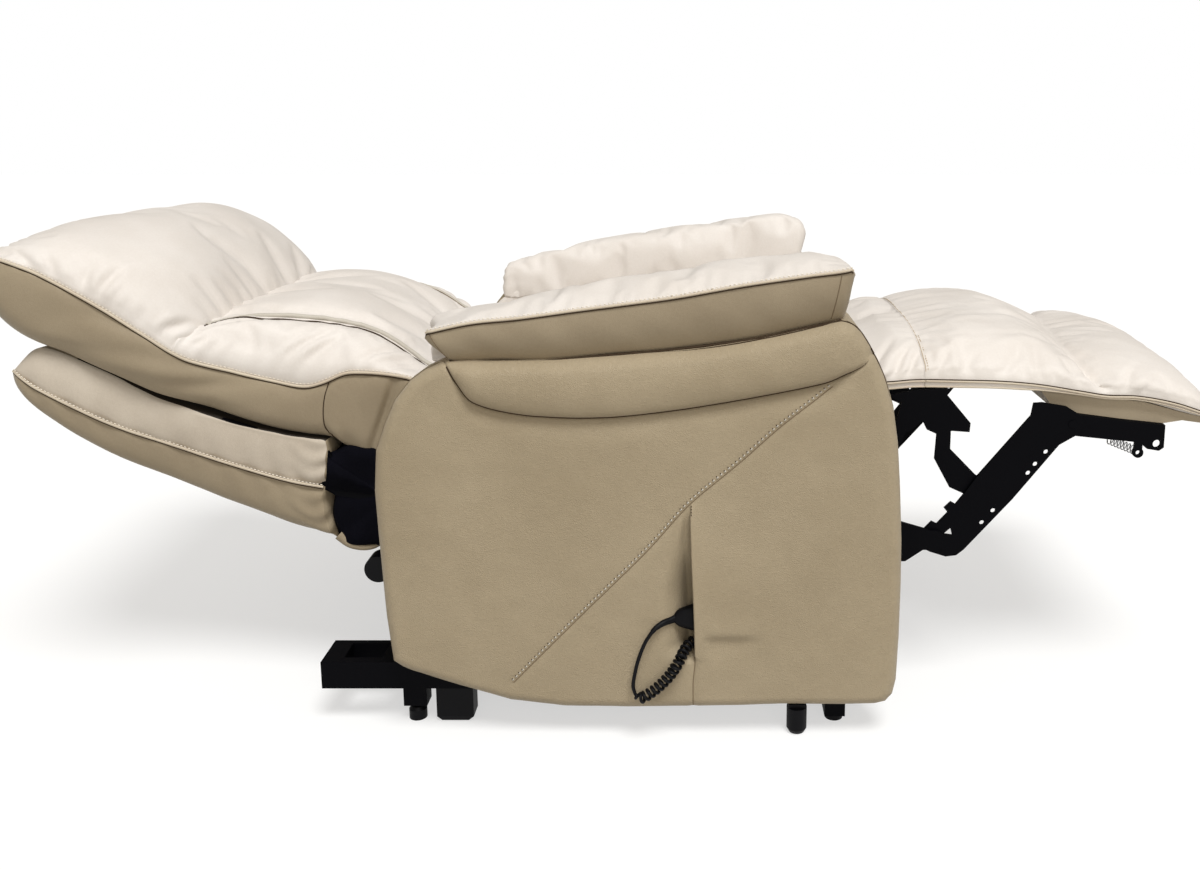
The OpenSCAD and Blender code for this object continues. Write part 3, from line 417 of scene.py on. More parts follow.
creamLeather = leather("creamLeather", (0.71, 0.655, 0.60), (0.77, 0.72, 0.67))
# the same leather darkened as painted shade, for the arm sides that turn away from the light
sideLeather = leather("sideLeather", (0.355, 0.285, 0.185), (0.405, 0.33, 0.22), cell=480.0,
                      depth=0.8, drift=6.0)
# the same leather darkened further as painted shade, for the band, the shell's lower half and the
# pads' outer faces
bandLeather = leather("bandLeather", (0.295, 0.235, 0.155), (0.34, 0.275, 0.185), cell=560.0)
# a lighter shaded copy of the leather: painted light on the shell's upper half, which faces more
# towards the light than its lower half
shellLeather = leather("shellLeather", (0.50, 0.43, 0.345), (0.57, 0.50, 0.41), cell=560.0)
shadeLeather = leather("shadeLeather", (0.24, 0.19, 0.12), (0.29, 0.23, 0.15))
# near-black leather, a painted shadow for the gap between the band and the shell
gapLeather = leather("gapLeather", (0.020, 0.015, 0.011), (0.032, 0.025, 0.018), specular=0.1)
pipingLeather = leather("pipingLeather", (0.56, 0.47, 0.36), (0.62, 0.54, 0.42), cell=900.0)
weltLeather = leather("weltLeather", (0.50, 0.46, 0.39), (0.57, 0.53, 0.46), cell=900.0)
seamShadow = solid("seamShadow", (0.055, 0.036, 0.022), 0.8, specular=0.1)
softSeam = solid("softSeam", (0.20, 0.15, 0.095), 0.8, specular=0.1)
thread = solid("paleThread", (0.82, 0.75, 0.64), 0.6)
tanThread = solid("tanThread", (0.50, 0.40, 0.27), 0.6)
blackCloth = leather("blackCloth", (0.0015, 0.0015, 0.003), (0.004, 0.004, 0.008), rough=0.85,
                     cell=1400.0, sheen=0.0, specular=0.06)
boardCloth = leather("boardCloth", (0.37, 0.305, 0.215), (0.43, 0.355, 0.25), rough=0.6,
                     cell=900.0)
blackSteel = solid("blackSteel", (0.0014, 0.0014, 0.0024), 0.55, scale=220, specular=0.05)
blackPlastic = solid("blackPlastic", (0.002, 0.002, 0.003), 0.5, scale=400, specular=0.12)
blackRubber = solid("blackRubber", (0.002, 0.002, 0.003), 0.5, scale=300, specular=0.14)
darkAluminium = solid("darkAluminium", (0.05, 0.052, 0.056), 0.4, metal=0.8)
brightSteel = solid("brightSteel", (0.55, 0.56, 0.58), 0.18, metal=1.0)
springSteel = solid("springSteel", (0.4, 0.41, 0.43), 0.32, metal=1.0)
palePlastic = solid("palePlastic", (0.62, 0.62, 0.62), 0.42)


def woodMaterial():
    mat, tree, bsdf = material("sawnPine")
    coord = node(tree, "ShaderNodeTexCoord")
    mapping = node(tree, "ShaderNodeMapping")
    mapping.inputs["Scale"].default_value = (2.0, 30.0, 30.0)
    rings = node(tree, "ShaderNodeTexNoise", Scale=6.0, Detail=6.0, Roughness=0.65)
    ramp = node(tree, "ShaderNodeValToRGB")
    ramp.color_ramp.elements[0].position = 0.35
    ramp.color_ramp.elements[0].color = (0.32, 0.19, 0.08, 1)
    ramp.color_ramp.elements[1].position = 0.65
    ramp.color_ramp.elements[1].color = (0.6, 0.42, 0.22, 1)
    plug(tree, (coord, "Object", mapping, "Vector"), (mapping, "Vector", rings, "Vector"),
         (rings, 0, ramp, "Fac"), (ramp, "Color", bsdf, "Base Color"))
    bsdf.inputs["Roughness"].default_value = 0.7
    return mat


sawnPine = woodMaterial()

slotMaterials = {
    "black_steel": blackSteel, "black_plastic": blackPlastic, "grey_aluminium": darkAluminium,
    "bright_steel": brightSteel, "spring_steel": springSteel, "black_rubber": blackRubber,
    "pine_board": sawnPine, "black_cloth": blackCloth, "side_cover": boardCloth,
    "cream_cover": creamLeather, "pale_plastic": palePlastic}
for part in frame["record"]["subparts"]:
    obj = nodes[part["node"]]
    obj.data.materials.clear()
    # the arm boards take the leather's copy darkened as painted shade
    covered = part["node"] == "arm_frames"    # the boards of the arms are under leather
    obj.data.materials.append(sideLeather if covered else slotMaterials[part["material_slot"]])
print("materials made")


def attach(obj, body):
    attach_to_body(obj, body)
    return obj


# the back lies at this slope from its hinge
slope = math.radians(27)
hingeX, hingeZ = -0.335, 0.310


# a point of the back: s up from the hinge, n out of the cushions
def onBack(s, y, n):
    x = hingeX - s * math.cos(slope) + n * math.sin(slope)
    z = hingeZ + s * math.sin(slope) + n * math.cos(slope)
    return np.stack(np.broadcast_arrays(x, y, z), axis=-1)


back = {
    "halfWidth": [(-90, 270), (290, 271), (330, 280), (380, 297), (430, 307), (480, 310),
                  (600, 311), (640, 306), (662, 292), (676, 262)],
    "seamLine": [(-90, 168), (-40, 176), (10, 180), (52, 176), (90, 165), (125, 150), (145, 138),
                 (169, 110), (190, 93), (231, 81), (296, 66), (348, 59), (375, 62), (419, 72),
                 (484, 82), (578, 88), (624, 84), (650, 78), (676, 72)],
    "underside": [(-90, 176), (-76, 168), (-60, 130), (-45, 97), (0, 78), (40, 44), (66, 35),
                  (118, 40), (161, 27), (203, 16), (260, 5), (314, -2), (374, -5), (434, -2),
                  (500, -3), (552, -7), (600, -1), (632, 14), (652, 38), (664, 60), (676, 70)],
    "headCrown": [(372, 112), (380, 124), (392, 138), (415, 155), (450, 168), (485, 173), (535, 167),
                  (583, 151), (625, 128), (650, 108), (668, 88), (676, 74)],
    "lumbarCrown": [(-84, 160), (-76, 172), (-40, 183), (0, 188), (50, 190), (80, 193), (110, 198),
                    (140, 200), (200, 192), (250, 178), (300, 155), (340, 132), (362, 118),
                    (378, 106)],
    # folds: start and end as s and y, then height and width
    "headFolds": [(0.624, -0.289, 0.596, -0.303, -0.0035, 0.006),
                  (0.600, -0.286, 0.572, -0.303, 0.0030, 0.007),
                  (0.584, -0.290, 0.557, -0.303, -0.0035, 0.006),
                  (0.546, -0.284, 0.506, -0.303, -0.0030, 0.007),
                  (0.530, -0.278, 0.520, -0.303, -0.0040, 0.005),
                  (0.512, -0.272, 0.512, -0.303, 0.0035, 0.006),
                  (0.494, -0.262, 0.500, -0.303, -0.0040, 0.006),
                  (0.480, -0.270, 0.486, -0.303, 0.0030, 0.006),
                  (0.401, -0.292, 0.390, -0.262, -0.0040, 0.006),
                  (0.412, -0.294, 0.404, -0.266, 0.0035, 0.006),
                  (0.388, -0.292, 0.382, -0.262, 0.0035, 0.005)],
    "lumbarFolds": [(0.366, -0.282, 0.352, -0.262, -0.0045, 0.005),
                    (0.356, -0.270, 0.336, -0.262, 0.0040, 0.005),
                    (0.350, -0.282, 0.322, -0.268, -0.0045, 0.005),
                    (0.336, -0.278, 0.316, -0.262, 0.0035, 0.005),
                    (0.262, -0.270, 0.222, -0.232, -0.0045, 0.007),
                    (0.240, -0.270, 0.196, -0.226, -0.0050, 0.007),
                    (0.212, -0.270, 0.178, -0.240, -0.0045, 0.006),
                    (0.252, -0.268, 0.208, -0.228, 0.0035, 0.007),
                    (0.226, -0.268, 0.190, -0.236, 0.0035, 0.006),
                    (0.135, -0.268, 0.096, -0.214, -0.0050, 0.008),
                    (0.112, -0.268, 0.066, -0.222, -0.0050, 0.008),
                    (0.124, -0.266, 0.080, -0.220, 0.0035, 0.008),
                    (0.092, -0.266, 0.050, -0.232, -0.0040, 0.007)],
}
halfWidth = along(back["halfWidth"])
seamHeight = along(back["seamLine"])
underside = along(back["underside"])
headCrown = along(back["headCrown"])
lumbarCrown = along(back["lumbarCrown"])


# rings across the back: a crowned top between two seams, and a flat hidden underside
def pillowGrid(stations, crown, edge, width, power, lean, sink, topCount=96):
    t = np.sin(np.linspace(-math.pi / 2, math.pi / 2, topCount))
    t = 0.55 * t + 0.45 * np.linspace(-1, 1, topCount)
    under = np.linspace(1, -1, 16)
    grid = []
    for s in stations:
        w, low = width(s), edge(s)
        high = max(crown(s), low + 0.001)
        h = (1 - np.abs(t) ** power) ** lean
        grid.append(np.concatenate([onBack(s, t * w, low + (high - low) * h),
                                    onBack(s, under * (w - 0.012), low - sink + 0 * under)]))
    return np.array(grid), t


headStations = np.concatenate([np.linspace(0.372, 0.40, 10), np.linspace(0.404, 0.62, 48),
                               np.linspace(0.624, 0.676, 18)])
headGrid, pillowT = pillowGrid(headStations, headCrown, seamHeight, halfWidth,
                               power=3.0, lean=0.6, sink=0.012)
topCount = len(pillowT)
sCol = headStations[:, None]
tRow = pillowT[None, :]
yRow = -np.abs(tRow) * 0.303
edgeGap = (1 - np.abs(tRow)) * 0.31
fromLumbar, fromEnd = sCol - 0.372, 0.676 - sCol
lift = np.zeros(headGrid.shape[:2])
lift[:, :topCount] = (puckers(edgeGap, sCol, 0.0010, 0.024, 0.03, 1.0)
                      + puckers(fromEnd, tRow * 0.31, 0.0022, 0.030, 0.03, 3.0)
                      + puckers(fromLumbar, tRow * 0.31, 0.0014, 0.045, 0.03, 2.0)
                      * (np.abs(tRow) > 0.3)
                      + creases(sCol, yRow, back["headFolds"]))
lift[:, :topCount] += 0.008 * noiseOn(headGrid[:, :topCount], (5, 7, 5), 3.1)
lift[:, :topCount] *= ease(edgeGap, 0, 0.008) * ease(fromLumbar, 0, 0.008) * ease(fromEnd, 0, 0.01)
headGrid += ringNormals(headGrid) * lift[..., None]
# its front end swells over the lumbar pillow, but for the corners
swell = 0.022 * (1 - np.abs(tRow) ** 6) * (1 - ease(sCol, 0.372, 0.45))
headGrid[:, :topCount] += swell[..., None] * np.array([math.cos(slope), 0, -math.sin(slope)])
headPillow = skin("headPillow", headGrid, creamLeather)

lumbarStations = np.concatenate([np.linspace(-0.084, -0.05, 8), np.linspace(-0.045, 0.34, 84),
                                 np.linspace(0.344, 0.378, 12)])
lumbarGrid, _ = pillowGrid(lumbarStations, lumbarCrown, seamHeight, halfWidth,
                           power=5.5, lean=0.42, sink=0.012)
sCol = lumbarStations[:, None]
yRow = -np.abs(tRow) * 0.270
edgeGap = (1 - np.abs(tRow)) * 0.27
fromHead = 0.378 - sCol
# path of the raised double seam on both sides of the pillow
weltPath = straightAlong([(-90, 212), (0, 206), (81, 191), (119, 191), (168, 188), (225, 199),
                          (280, 205), (332, 212), (352, 219), (364, 232), (368, 250), (372, 275)])
off = np.abs(tRow) * 0.270 - weltPath(sCol)
lift = np.zeros(lumbarGrid.shape[:2])
weltFade = ease(sCol, 0.372, 0.350)
lift[:, :topCount] = (creases(sCol, yRow, back["lumbarFolds"])
                      + puckers(fromHead, tRow * 0.27, 0.0016, 0.036, 0.03, 6.0)
                      + weltFade * (-0.0045 * bell(off - 0.007, 0.005)
                                    + 0.0030 * bell(off, 0.006)
                                    + 0.0045 * bell(off - 0.028, 0.014)
                                    - 0.0020 * bell(off + 0.014, 0.01)))
lift[:, :topCount] += 0.006 * noiseOn(lumbarGrid[:, :topCount], (6, 8, 6), 7.7)
lift[:, :topCount] *= ease(edgeGap, 0, 0.008) * ease(fromHead, 0, 0.008)
lumbarGrid += ringNormals(lumbarGrid) * lift[..., None]
lumbarPillow = skin("lumbarPillow", lumbarGrid, creamLeather)


# points that seams and frame hold: the end rings with their caps, and every column
# outside first to last
def heldPoints(piece, grid, first, last, ends=2):
    rows, cols = grid.shape[:2]
    held = np.ones((rows, cols), bool)
    held[ends:-ends, first:last] = False
    caps = range(rows * cols, len(piece.data.vertices))
    return list(np.nonzero(held.reshape(-1))[0]) + list(caps)


for pillow, grid in ((headPillow, headGrid), (lumbarPillow, lumbarGrid)):
    keep = heldPoints(pillow, grid, 2, topCount - 2)
    if pillow is lumbarPillow:
        # also its double seam, and the part that lies against the seat
        rows, cols = grid.shape[:2]
        atSeam = np.abs(off - 0.004) < 0.012
        keep += [i * cols + j for i, j in zip(*np.nonzero(atSeam & (weltFade > 0)))]
        keep += [i * cols + j for i in range(rows) for j in range(cols)
                 if lumbarStations[i] < 0.075]
    asCloth(pillow, keep, pressure=2.0, cap=0.016, grow=0.025)

# the cover between the pillows and the shell, on both sides of the back
band = {
    # folds: start and end as s and n, then height and width
    "folds": [(0.076, 0.172, 0.060, 0.040, -0.0120, 0.0075),
              (0.050, 0.172, 0.040, 0.045, 0.0080, 0.011),
              (0.098, 0.160, 0.084, 0.070, 0.0060, 0.014),
              (0.108, 0.112, 0.082, 0.078, -0.0060, 0.010),
              (0.124, 0.060, 0.100, 0.034, 0.0040, 0.006),
              (0.020, 0.178, 0.010, 0.090, -0.0080, 0.009),
              (0.116, 0.090, 0.108, 0.062, 0.0035, 0.010),
              (-0.012, 0.176, -0.02, 0.1, 0.006, 0.01)],
    # s and n of the upright seam, in metres
    "seam": [(0.163, 0.124), (0.156, 0.092), (0.145, 0.064), (0.135, 0.048), (0.120, 0.040)],
}
bandStations = np.concatenate([np.linspace(-0.082, -0.03, 14), np.linspace(-0.025, 0.62, 190),
                               np.linspace(0.624, 0.676, 20)])
v = np.linspace(0, 1, 26)
acrossCols = 12    # columns across the top and the bottom of a ring
bandGrid = []
for s in bandStations:
    w = float(halfWidth(s))
    low = float(underside(s))
    high = max(float(seamHeight(s)), low + 0.002)
    bulge = 0.009 * np.sin(math.pi * v) ** 0.8 * min(1.0, (high - low) / 0.08)
    tuck = 0.008 * (1 - v) ** 6
    rise = low + (high - low) * v
    near = onBack(s, -(w + bulge - tuck), rise)
    over = onBack(s, np.linspace(-w + 0.003, w - 0.003, acrossCols), high - 0.004)
    far = onBack(s, (w + bulge - tuck)[::-1], rise[::-1])
    below = onBack(s, np.linspace(w - 0.014, -w + 0.014, acrossCols), low)
    bandGrid.append(np.concatenate([near, over, far, below]))
bandGrid = np.array(bandGrid)
sCol = bandStations[:, None]
nGrid = underside(sCol) + (seamHeight(sCol) - underside(sCol)) * v[None, :]
# where the upright seam runs at each height, carried on above its upper end
seamRows = sorted((n, s) for s, n in band["seam"] + [(0.165, 0.15)])
seamS = np.interp(nGrid, *np.array(seamRows).T)
lift = np.zeros(bandGrid.shape[:2])
edgeFade = np.sin(math.pi * np.clip(v[None, :], 0.01, 0.99)) ** 0.35
sideLift = (creases(sCol, nGrid, band["folds"]) - 0.0035 * bell(sCol - seamS, 0.0035)
            + 0.0035 * bell(sCol - seamS + 0.014, 0.010) * (nGrid < 0.11)
            + puckers((1 - v[None, :]) * 0.09, sCol, 0.0008, 0.03, 0.03, 8.0)
            + 0.0016 * np.sin(2 * math.pi * (sCol * 9 + v[None, :] * 1.6)) * ease(sCol, 0.2, 0.34)
            * (1 - ease(sCol, 0.5, 0.64))) * edgeFade
farCols = slice(len(v) + acrossCols, 2 * len(v) + acrossCols)
lift[:, :len(v)] = sideLift
lift[:, farCols] = sideLift[:, ::-1]
lift += 0.004 * noiseOn(bandGrid, 7, 1.9)
bandGrid += ringNormals(bandGrid) * lift[..., None]
# the sides stay clear of the plates and arms that the raised back stands between
limit = 0.2742 + 0.0042 * ease(sCol, 0.15, 0.21) + 0.04 * ease(sCol, 0.29, 0.36)
soft = 0.005    # the last stretch before the limit gives way evenly
reach = np.abs(bandGrid[:, :, 1])
excess = np.maximum(reach - (limit - soft), 0)
bandGrid[:, :, 1] = np.sign(bandGrid[:, :, 1]) * (np.minimum(reach, limit - soft)
                                                  + soft * np.tanh(excess / soft))
# the band takes the leather's darkest copy, as painted shade
backBand = skin("backSideBand", bandGrid, bandLeather)


# further materials of a skin on its first rings, picked by the columns of the rings
def recolour(obj, cols, rows, picks):
    for mat, chosen in picks:
        obj.data.materials.append(mat)
        chosen = set(chosen)
        for poly in obj.data.polygons:
            if all(q < rows * cols and q % cols in chosen for q in poly.vertices):
                poly.material_index = len(obj.data.materials) - 1


bandCols = bandGrid.shape[1]
# the band's underside and lowest edge, over the shell, are painted near black as the shadow in the gap
recolour(backBand, bandCols, int(np.sum(bandStations < 0.555)),
         [(gapLeather, [0] + list(range(bandCols - acrossCols - 1, bandCols)))])

shell = {
    "top": [(30, 46), (80, 40), (110, 36), (127, 31), (148, 26), (188, 14), (222, 5), (257, -3),
            (310, -12), (369, -18), (405, -15), (434, -11), (491, -11), (546, -19), (566, -42),
            (574, -68), (580, -74)],
    "middle": [(30, -16), (88, -30), (150, -48), (225, -62), (302, -72), (380, -75), (461, -73),
               (528, -71), (567, -68), (580, -75)],
    "bottom": [(30, -96), (54, -102), (91, -110), (140, -118), (243, -128), (320, -130), (406, -124),
               (490, -112), (540, -100), (566, -88), (580, -76)],
    # the front end: how far back it leans for each metre of height, and the depth it starts from
    "endLean": 0.457, "endHeight": 0.099,
    "width": [(30, 271), (80, 272), (290, 272), (340, 279), (390, 293), (440, 302), (520, 304),
              (556, 299), (574, 286), (580, 270)],
}
shellTop, shellMiddle = along(shell["top"]), along(shell["middle"])
shellBottom, shellWidth = along(shell["bottom"]), along(shell["width"])
shellStations = np.concatenate([np.linspace(0.052, 0.07, 8), np.linspace(0.074, 0.54, 130),
                                np.linspace(0.543, 0.580, 22)])
upper = np.linspace(0, 1, 14)
lower = np.linspace(0, 1, 20)[1:]
count = len(upper) + len(lower)


# shape of one side of the shell at s: from the top edge to the middle seam, then under
def shellSide(s, k):
    w, a, b, c = shellWidth(s), shellTop(s), shellMiddle(s), shellBottom(s)
    if k < len(upper):
        u = upper[k]
        tuck = 0.001 + 0.013 * float(ease(s, 0.30, 0.40))
        return w - tuck * (1 - u) ** 1.5 + 0.003 * math.sin(math.pi * u), a + (b - a) * u
    u = lower[k - len(upper)]
    curve = 1 - math.sqrt(max(0.0, 1 - u ** 2.6))
    return w - 0.045 * curve, b + (c - b) * math.sin(u * math.pi / 2) ** 0.9


# the front end stands upright and hollow, so stations near it lean with the height
shellEnd = mm([(-130, 20), (-118, 9), (-108, 2), (-101, 0), (-86, 15), (-54, 22), (-25, 18), (23, 14),
               (36, 19), (50, 30)])


def leaned(s0, k):
    s = s0
    fade = 1 - ease(s0, 0.052, 0.35)
    bow = 1 - ease(s0, 0.052, 0.20)
    for _ in range(5):
        yn = shellSide(s, k)
        upright = fade * shell["endLean"] * (yn[1] + shell["endHeight"])
        s = s0 + upright + bow * np.interp(yn[1], shellEnd[:, 0], shellEnd[:, 1])
    return s, yn[0], yn[1]


shellGrid = []
for s0 in shellStations:
    side = np.array([leaned(s0, k) for k in range(count)])
    s, y, n = side.T
    low = np.linspace(1, -1, acrossCols + 2)[1:-1]
    near, far = onBack(s, -y, n), onBack(s, y, n)[::-1]
    under = near[-1] * (1 + low[:, None]) / 2 + far[0] * (1 - low[:, None]) / 2
    over = far[-1] * (1 + low[:, None]) / 2 + near[0] * (1 - low[:, None]) / 2
    shellGrid.append(np.concatenate([near, under, far, over]))
shellGrid = np.array(shellGrid)
sCol = shellStations[:, None]
lift = np.zeros(shellGrid.shape[:2])
ring = (np.arange(count) - (len(upper) - 1))[None, :]
crease = -0.0022 * bell(ring, 0.9)
fade = np.exp(-(sCol - 0.05) / 0.030)
pucker = 0.0030 * np.sin(ring * 1.25 + 2 * np.sin(sCol * 60)) * fade
shallow = 0.0012 * np.sin(2 * math.pi * sCol / 0.055 + ring * 0.4) * np.exp(-np.abs(ring) / 6)
gather = -0.0040 * bell(ring, 2.6) * fade + 0.0060 * bell(ring - 13, 4.0) * fade
side = (crease + pucker + shallow + gather) * ease(0.58 - sCol, 0, 0.02)
lift[:, :count] = side
start = count + acrossCols
lift[:, start:start + count] = side[:, ::-1]
lift += 0.004 * noiseOn(shellGrid, 6, 4.4)
shellGrid += ringNormals(shellGrid) * lift[..., None]
# the shell takes the leather's darkest copy below, as painted shade
rearShell = skin("backShell", shellGrid, bandLeather)
shellCols = shellGrid.shape[1]
upperCols = list(range(len(upper)))
# the upper half of each side gets the lighter copy and the lower half the darker one: painted light
# above, painted shade below
recolour(rearShell, shellCols, len(shellStations),
         [(shellLeather, upperCols + [2 * count + acrossCols - 1 - j for j in upperCols])])
# the shell's top faces under the band are painted near black as the shadow in the gap
recolour(rearShell, shellCols, int(np.sum(shellStations < 0.50)),
         [(gapLeather, list(range(2 * count + acrossCols, shellCols)) + [0])])

for piece, fill, name in ((headPillow, 0.6, "head_cushion"), (lumbarPillow, 0.65, "lumbar_cushion"),
                          (backBand, 0.6, "back_board"), (rearShell, 0.5, "rear_shell")):
    attach(piece, "back")
    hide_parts(name)

# black cloth round the hinge, in two lengths beside the recline actuator
drum = {"corners": [(-430, 378), (-300, 384), (-236, 360), (-228, 300), (-240, 240), (-300, 226),
                    (-380, 228), (-428, 236), (-436, 300)],
        "spans": [(-0.2695, 0.073), (0.117, 0.2695)]}
loop = mm(drum["corners"])
loop = smoothLine(np.concatenate([loop[-2:], loop, loop[:2]]), 176)[16:-26]
drumPieces = []
for index, (y0, y1) in enumerate(drum["spans"]):
    ys = np.linspace(y0, y1, int((y1 - y0) / 0.005))
    middle = loop.mean(axis=0)
    rings = []
    for y in ys:
        end = min(y - y0, y1 - y)
        size = 1 - 0.07 * (1 - ease(end, 0, 0.012))
        p = middle + (loop - middle) * size
        rings.append(np.stack([p[:, 0], np.full(len(p), y), p[:, 1]], axis=-1))
    rings = np.array(rings)
    angle = np.linspace(0, 2 * math.pi, rings.shape[1], endpoint=False)[None, :]
    fold = (0.0030 * np.sin(ys[:, None] * 95 + 1.5 * np.sin(angle * 2))
            + 0.006 * noiseOn(rings, 14, 2.0)
            + 0.0025 * np.sin(angle * 11 + ys[:, None] * 30))
    rings += ringNormals(rings) * (fold - 0.003)[..., None]
    drumPieces.append(skin("hingeCloth" + "AB"[index], rings, blackCloth))
    attach(drumPieces[-1], "back")
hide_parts("rear_dust_cover")
# tucked-in corners of the cover below the hinge cloth, in the leather's copy darkened as painted shade
for side, label in ((-1, "Near"), (1, "Far")):
    tuck = smoothLine(mm([(52, -97), (30, -103), (8, -98), (-7, -85), (-5, -75)]), 30)
    line = onBack(tuck[:, 0], side * 0.262, tuck[:, 1])
    thick = np.interp(np.arange(30), [0, 12, 29], [0.009, 0.006, 0.003])
    attach(tube("shellTuck" + label, line, thick, bandLeather), "back")


# piping along a seam, with a dark line below it and a row of stitches above it
def pipedSeam(word, stitchWord, label, line, body, thick, shade, stitch, pitch=0.0056,
              length=0.0034):
    attach(tube(word + "Piping" + label, line, thick, pipingLeather), body)
    attach(tube(word + "PipingShade" + label, line + np.array([0, *shade[:2]]), shade[2],
                seamShadow), body)
    attach(stitchRow(word + stitchWord + label, line + np.array([0, *stitch]), thread, pitch=pitch,
                     length=length, radius=0.0008), body)


# piping, stitches and welts of the back, on both sides
for side, label in ((-1, "Near"), (1, "Far")):
    s = np.linspace(-0.06, 0.668, 150)
    line = onBack(s, side * (halfWidth(s) + 0.0012), seamHeight(s) + 0.001)
    pipedSeam("back", "PipingStitch", label, line, "back", 0.0022,
              (side * 0.0006, -0.0030, 0.0009), (-side * 0.0006, 0.0036))
    s0 = np.linspace(0.053, 0.572, 120)
    row = np.array([leaned(q, len(upper) - 1) for q in s0])
    line = onBack(row[:, 0], side * (row[:, 1] + 0.0012), row[:, 2])
    pipedSeam("shell", "Stitch", label, line, "back", 0.0021,
              (side * 0.0004, -0.0028, 0.0009), (side * 0.0008, 0.0034))
    # the raised double seam of the lumbar pillow
    rows = [i for i, q in enumerate(lumbarStations) if -0.06 < q < 0.366]
    normals = ringNormals(lumbarGrid)

    def onLumbar(shift, out):
        line = []
        for i in rows:
            y = side * (weltPath(lumbarStations[i]) + shift)
            ys = lumbarGrid[i, :topCount, 1]
            p = [np.interp(y, ys, lumbarGrid[i, :topCount, k]) for k in range(3)]
            q = [np.interp(y, ys, normals[i, :topCount, k]) for k in range(3)]
            line.append(np.array(p) + out * np.array(q))
        return np.array(line)

    attach(tube("lumbarWelt" + label, onLumbar(0.0, -0.0006), 0.0040, weltLeather), "back")
    attach(tube("lumbarWeltEdge" + label, onLumbar(-0.0044, 0.0004), 0.0007, softSeam), "back")
    # a dark line in the groove beside the welt: painted shadow at the welt's foot
    attach(tube("lumbarSeam" + label, onLumbar(0.0058, 0.0004), 0.0013, seamShadow), "back")
    # upright seam of the side cover
    fine = smoothLine(band["seam"], 30)
    u = (fine[:, 1] - underside(fine[:, 0])) / (seamHeight(fine[:, 0]) - underside(fine[:, 0]))
    line = []
    for sv, uv in zip(fine[:, 0], u):
        i = np.interp(sv, bandStations, np.arange(len(bandStations)))
        j = np.clip(uv, 0, 1) * (len(v) - 1)
        col = bandGrid[int(i)] * (1 - i % 1) + bandGrid[int(i) + 1] * (i % 1)
        col = col[:len(v)] if side < 0 else col[farCols][::-1]
        line.append(col[int(j)] * (1 - j % 1) + col[min(int(j) + 1, len(v) - 1)] * (j % 1))
    attach(tube("bandSeam" + label, np.array(line) + np.array([0, side * 0.0002, 0]), 0.0008,
                seamShadow), "back")
# the seam between the pillows shows only near both sides
seamRow = headGrid[0, 2:topCount - 2] + np.array([0.001, 0, 0.001])
for label, keep in (("Near", seamRow[:, 1] < -0.226), ("Far", seamRow[:, 1] > 0.236)):
    ends = np.abs(seamRow[keep, 1])
    attach(tube("pillowSeam" + label, seamRow[keep], 0.0009 * (0.25 + 0.75 * ease(ends, 0.226, 0.25)),
                seamShadow), "back")
print("back made")

arm = {
    "low": [(-327, 365), (-325, 300), (-320, 180), (-313, 112), (-300, 103), (-287, 97),
            (-231, 78), (-147, 51.5), (-69, 42), (20, 41.5), (123, 42), (200, 43.5), (240, 45),
            (336, 45), (372, 46), (388, 50), (398, 62), (402.5, 84), (404.5, 150), (405, 232)],
    "rollSeam": [(-327, 365), (-323, 421), (-310, 457), (-294, 492), (-272, 520), (-250, 536),
                 (-229, 546), (-222, 545), (-205, 518), (-186, 494), (-139, 479), (-75, 472.5),
                 (6, 473), (101, 484), (195, 500), (291, 520), (317, 531), (337, 540), (347, 548),
                 (354, 560), (362, 552), (376, 521), (387, 483), (395, 431), (400, 366),
                 (404, 291), (405, 232)],
    "rollTop": [(-229, 546.5), (-222, 548.5), (-147, 549.5), (-66, 551), (15, 557), (123, 567),
                (203, 580), (283, 598), (305, 604), (318, 604), (334, 595), (347, 578),
                (353, 567), (355, 560)],
    "rollWelt": [(60, 560), (123, 565.5), (203, 578.5), (283, 596.5), (305, 602.5), (318, 602.5),
                 (334, 593.5), (347, 576.5), (360, 553), (373, 525), (385, 483)],
    "diagonal": [(-141, 84), (-73, 155), (-11, 219), (54, 285), (112, 346), (177, 407),
                 (231, 458), (284, 500), (302, 514)],
    "face": 0.4110, "round": 0.018, "inner": 0.3725,
    # middle and half length of the panel, and how far in the roll's top and inner side reach
    "middleX": 0.039, "halfLength": 0.3658, "rollReach": 0.2875, "rollInner": 0.2865,
}
panelLow = straightAlong(arm["low"])
seamLine = mm(arm["rollSeam"])
seamLine = np.concatenate([seamLine[:6], smoothLine(seamLine[6:20], 240), seamLine[20:]])
seamLine = seamLine[np.argsort(seamLine[:, 0])]


def panelHigh(x):
    return np.interp(x, seamLine[:, 0], seamLine[:, 1])


rollTop = along(arm["rollTop"])
upperEdge = arm["rollSeam"][:7] + arm["rollTop"] + arm["rollSeam"][20:]
sideLoop = np.concatenate([mm(arm["low"]), mm(upperEdge)[::-1]])
diagonalSeam = mm(arm["diagonal"])


# distance to the outline of the arm's side
def edgeDistance(x, z):
    best = np.full(np.shape(x), 9.0)
    for a, b in zip(sideLoop, np.roll(sideLoop, -1, axis=0)):
        d = b - a
        size = d @ d
        if size < 1e-12:
            continue
        t = np.clip(((x - a[0]) * d[0] + (z - a[1]) * d[1]) / size, 0, 1)
        best = np.minimum(best, np.hypot(x - a[0] - t * d[0], z - a[1] - t * d[1]))
    return best


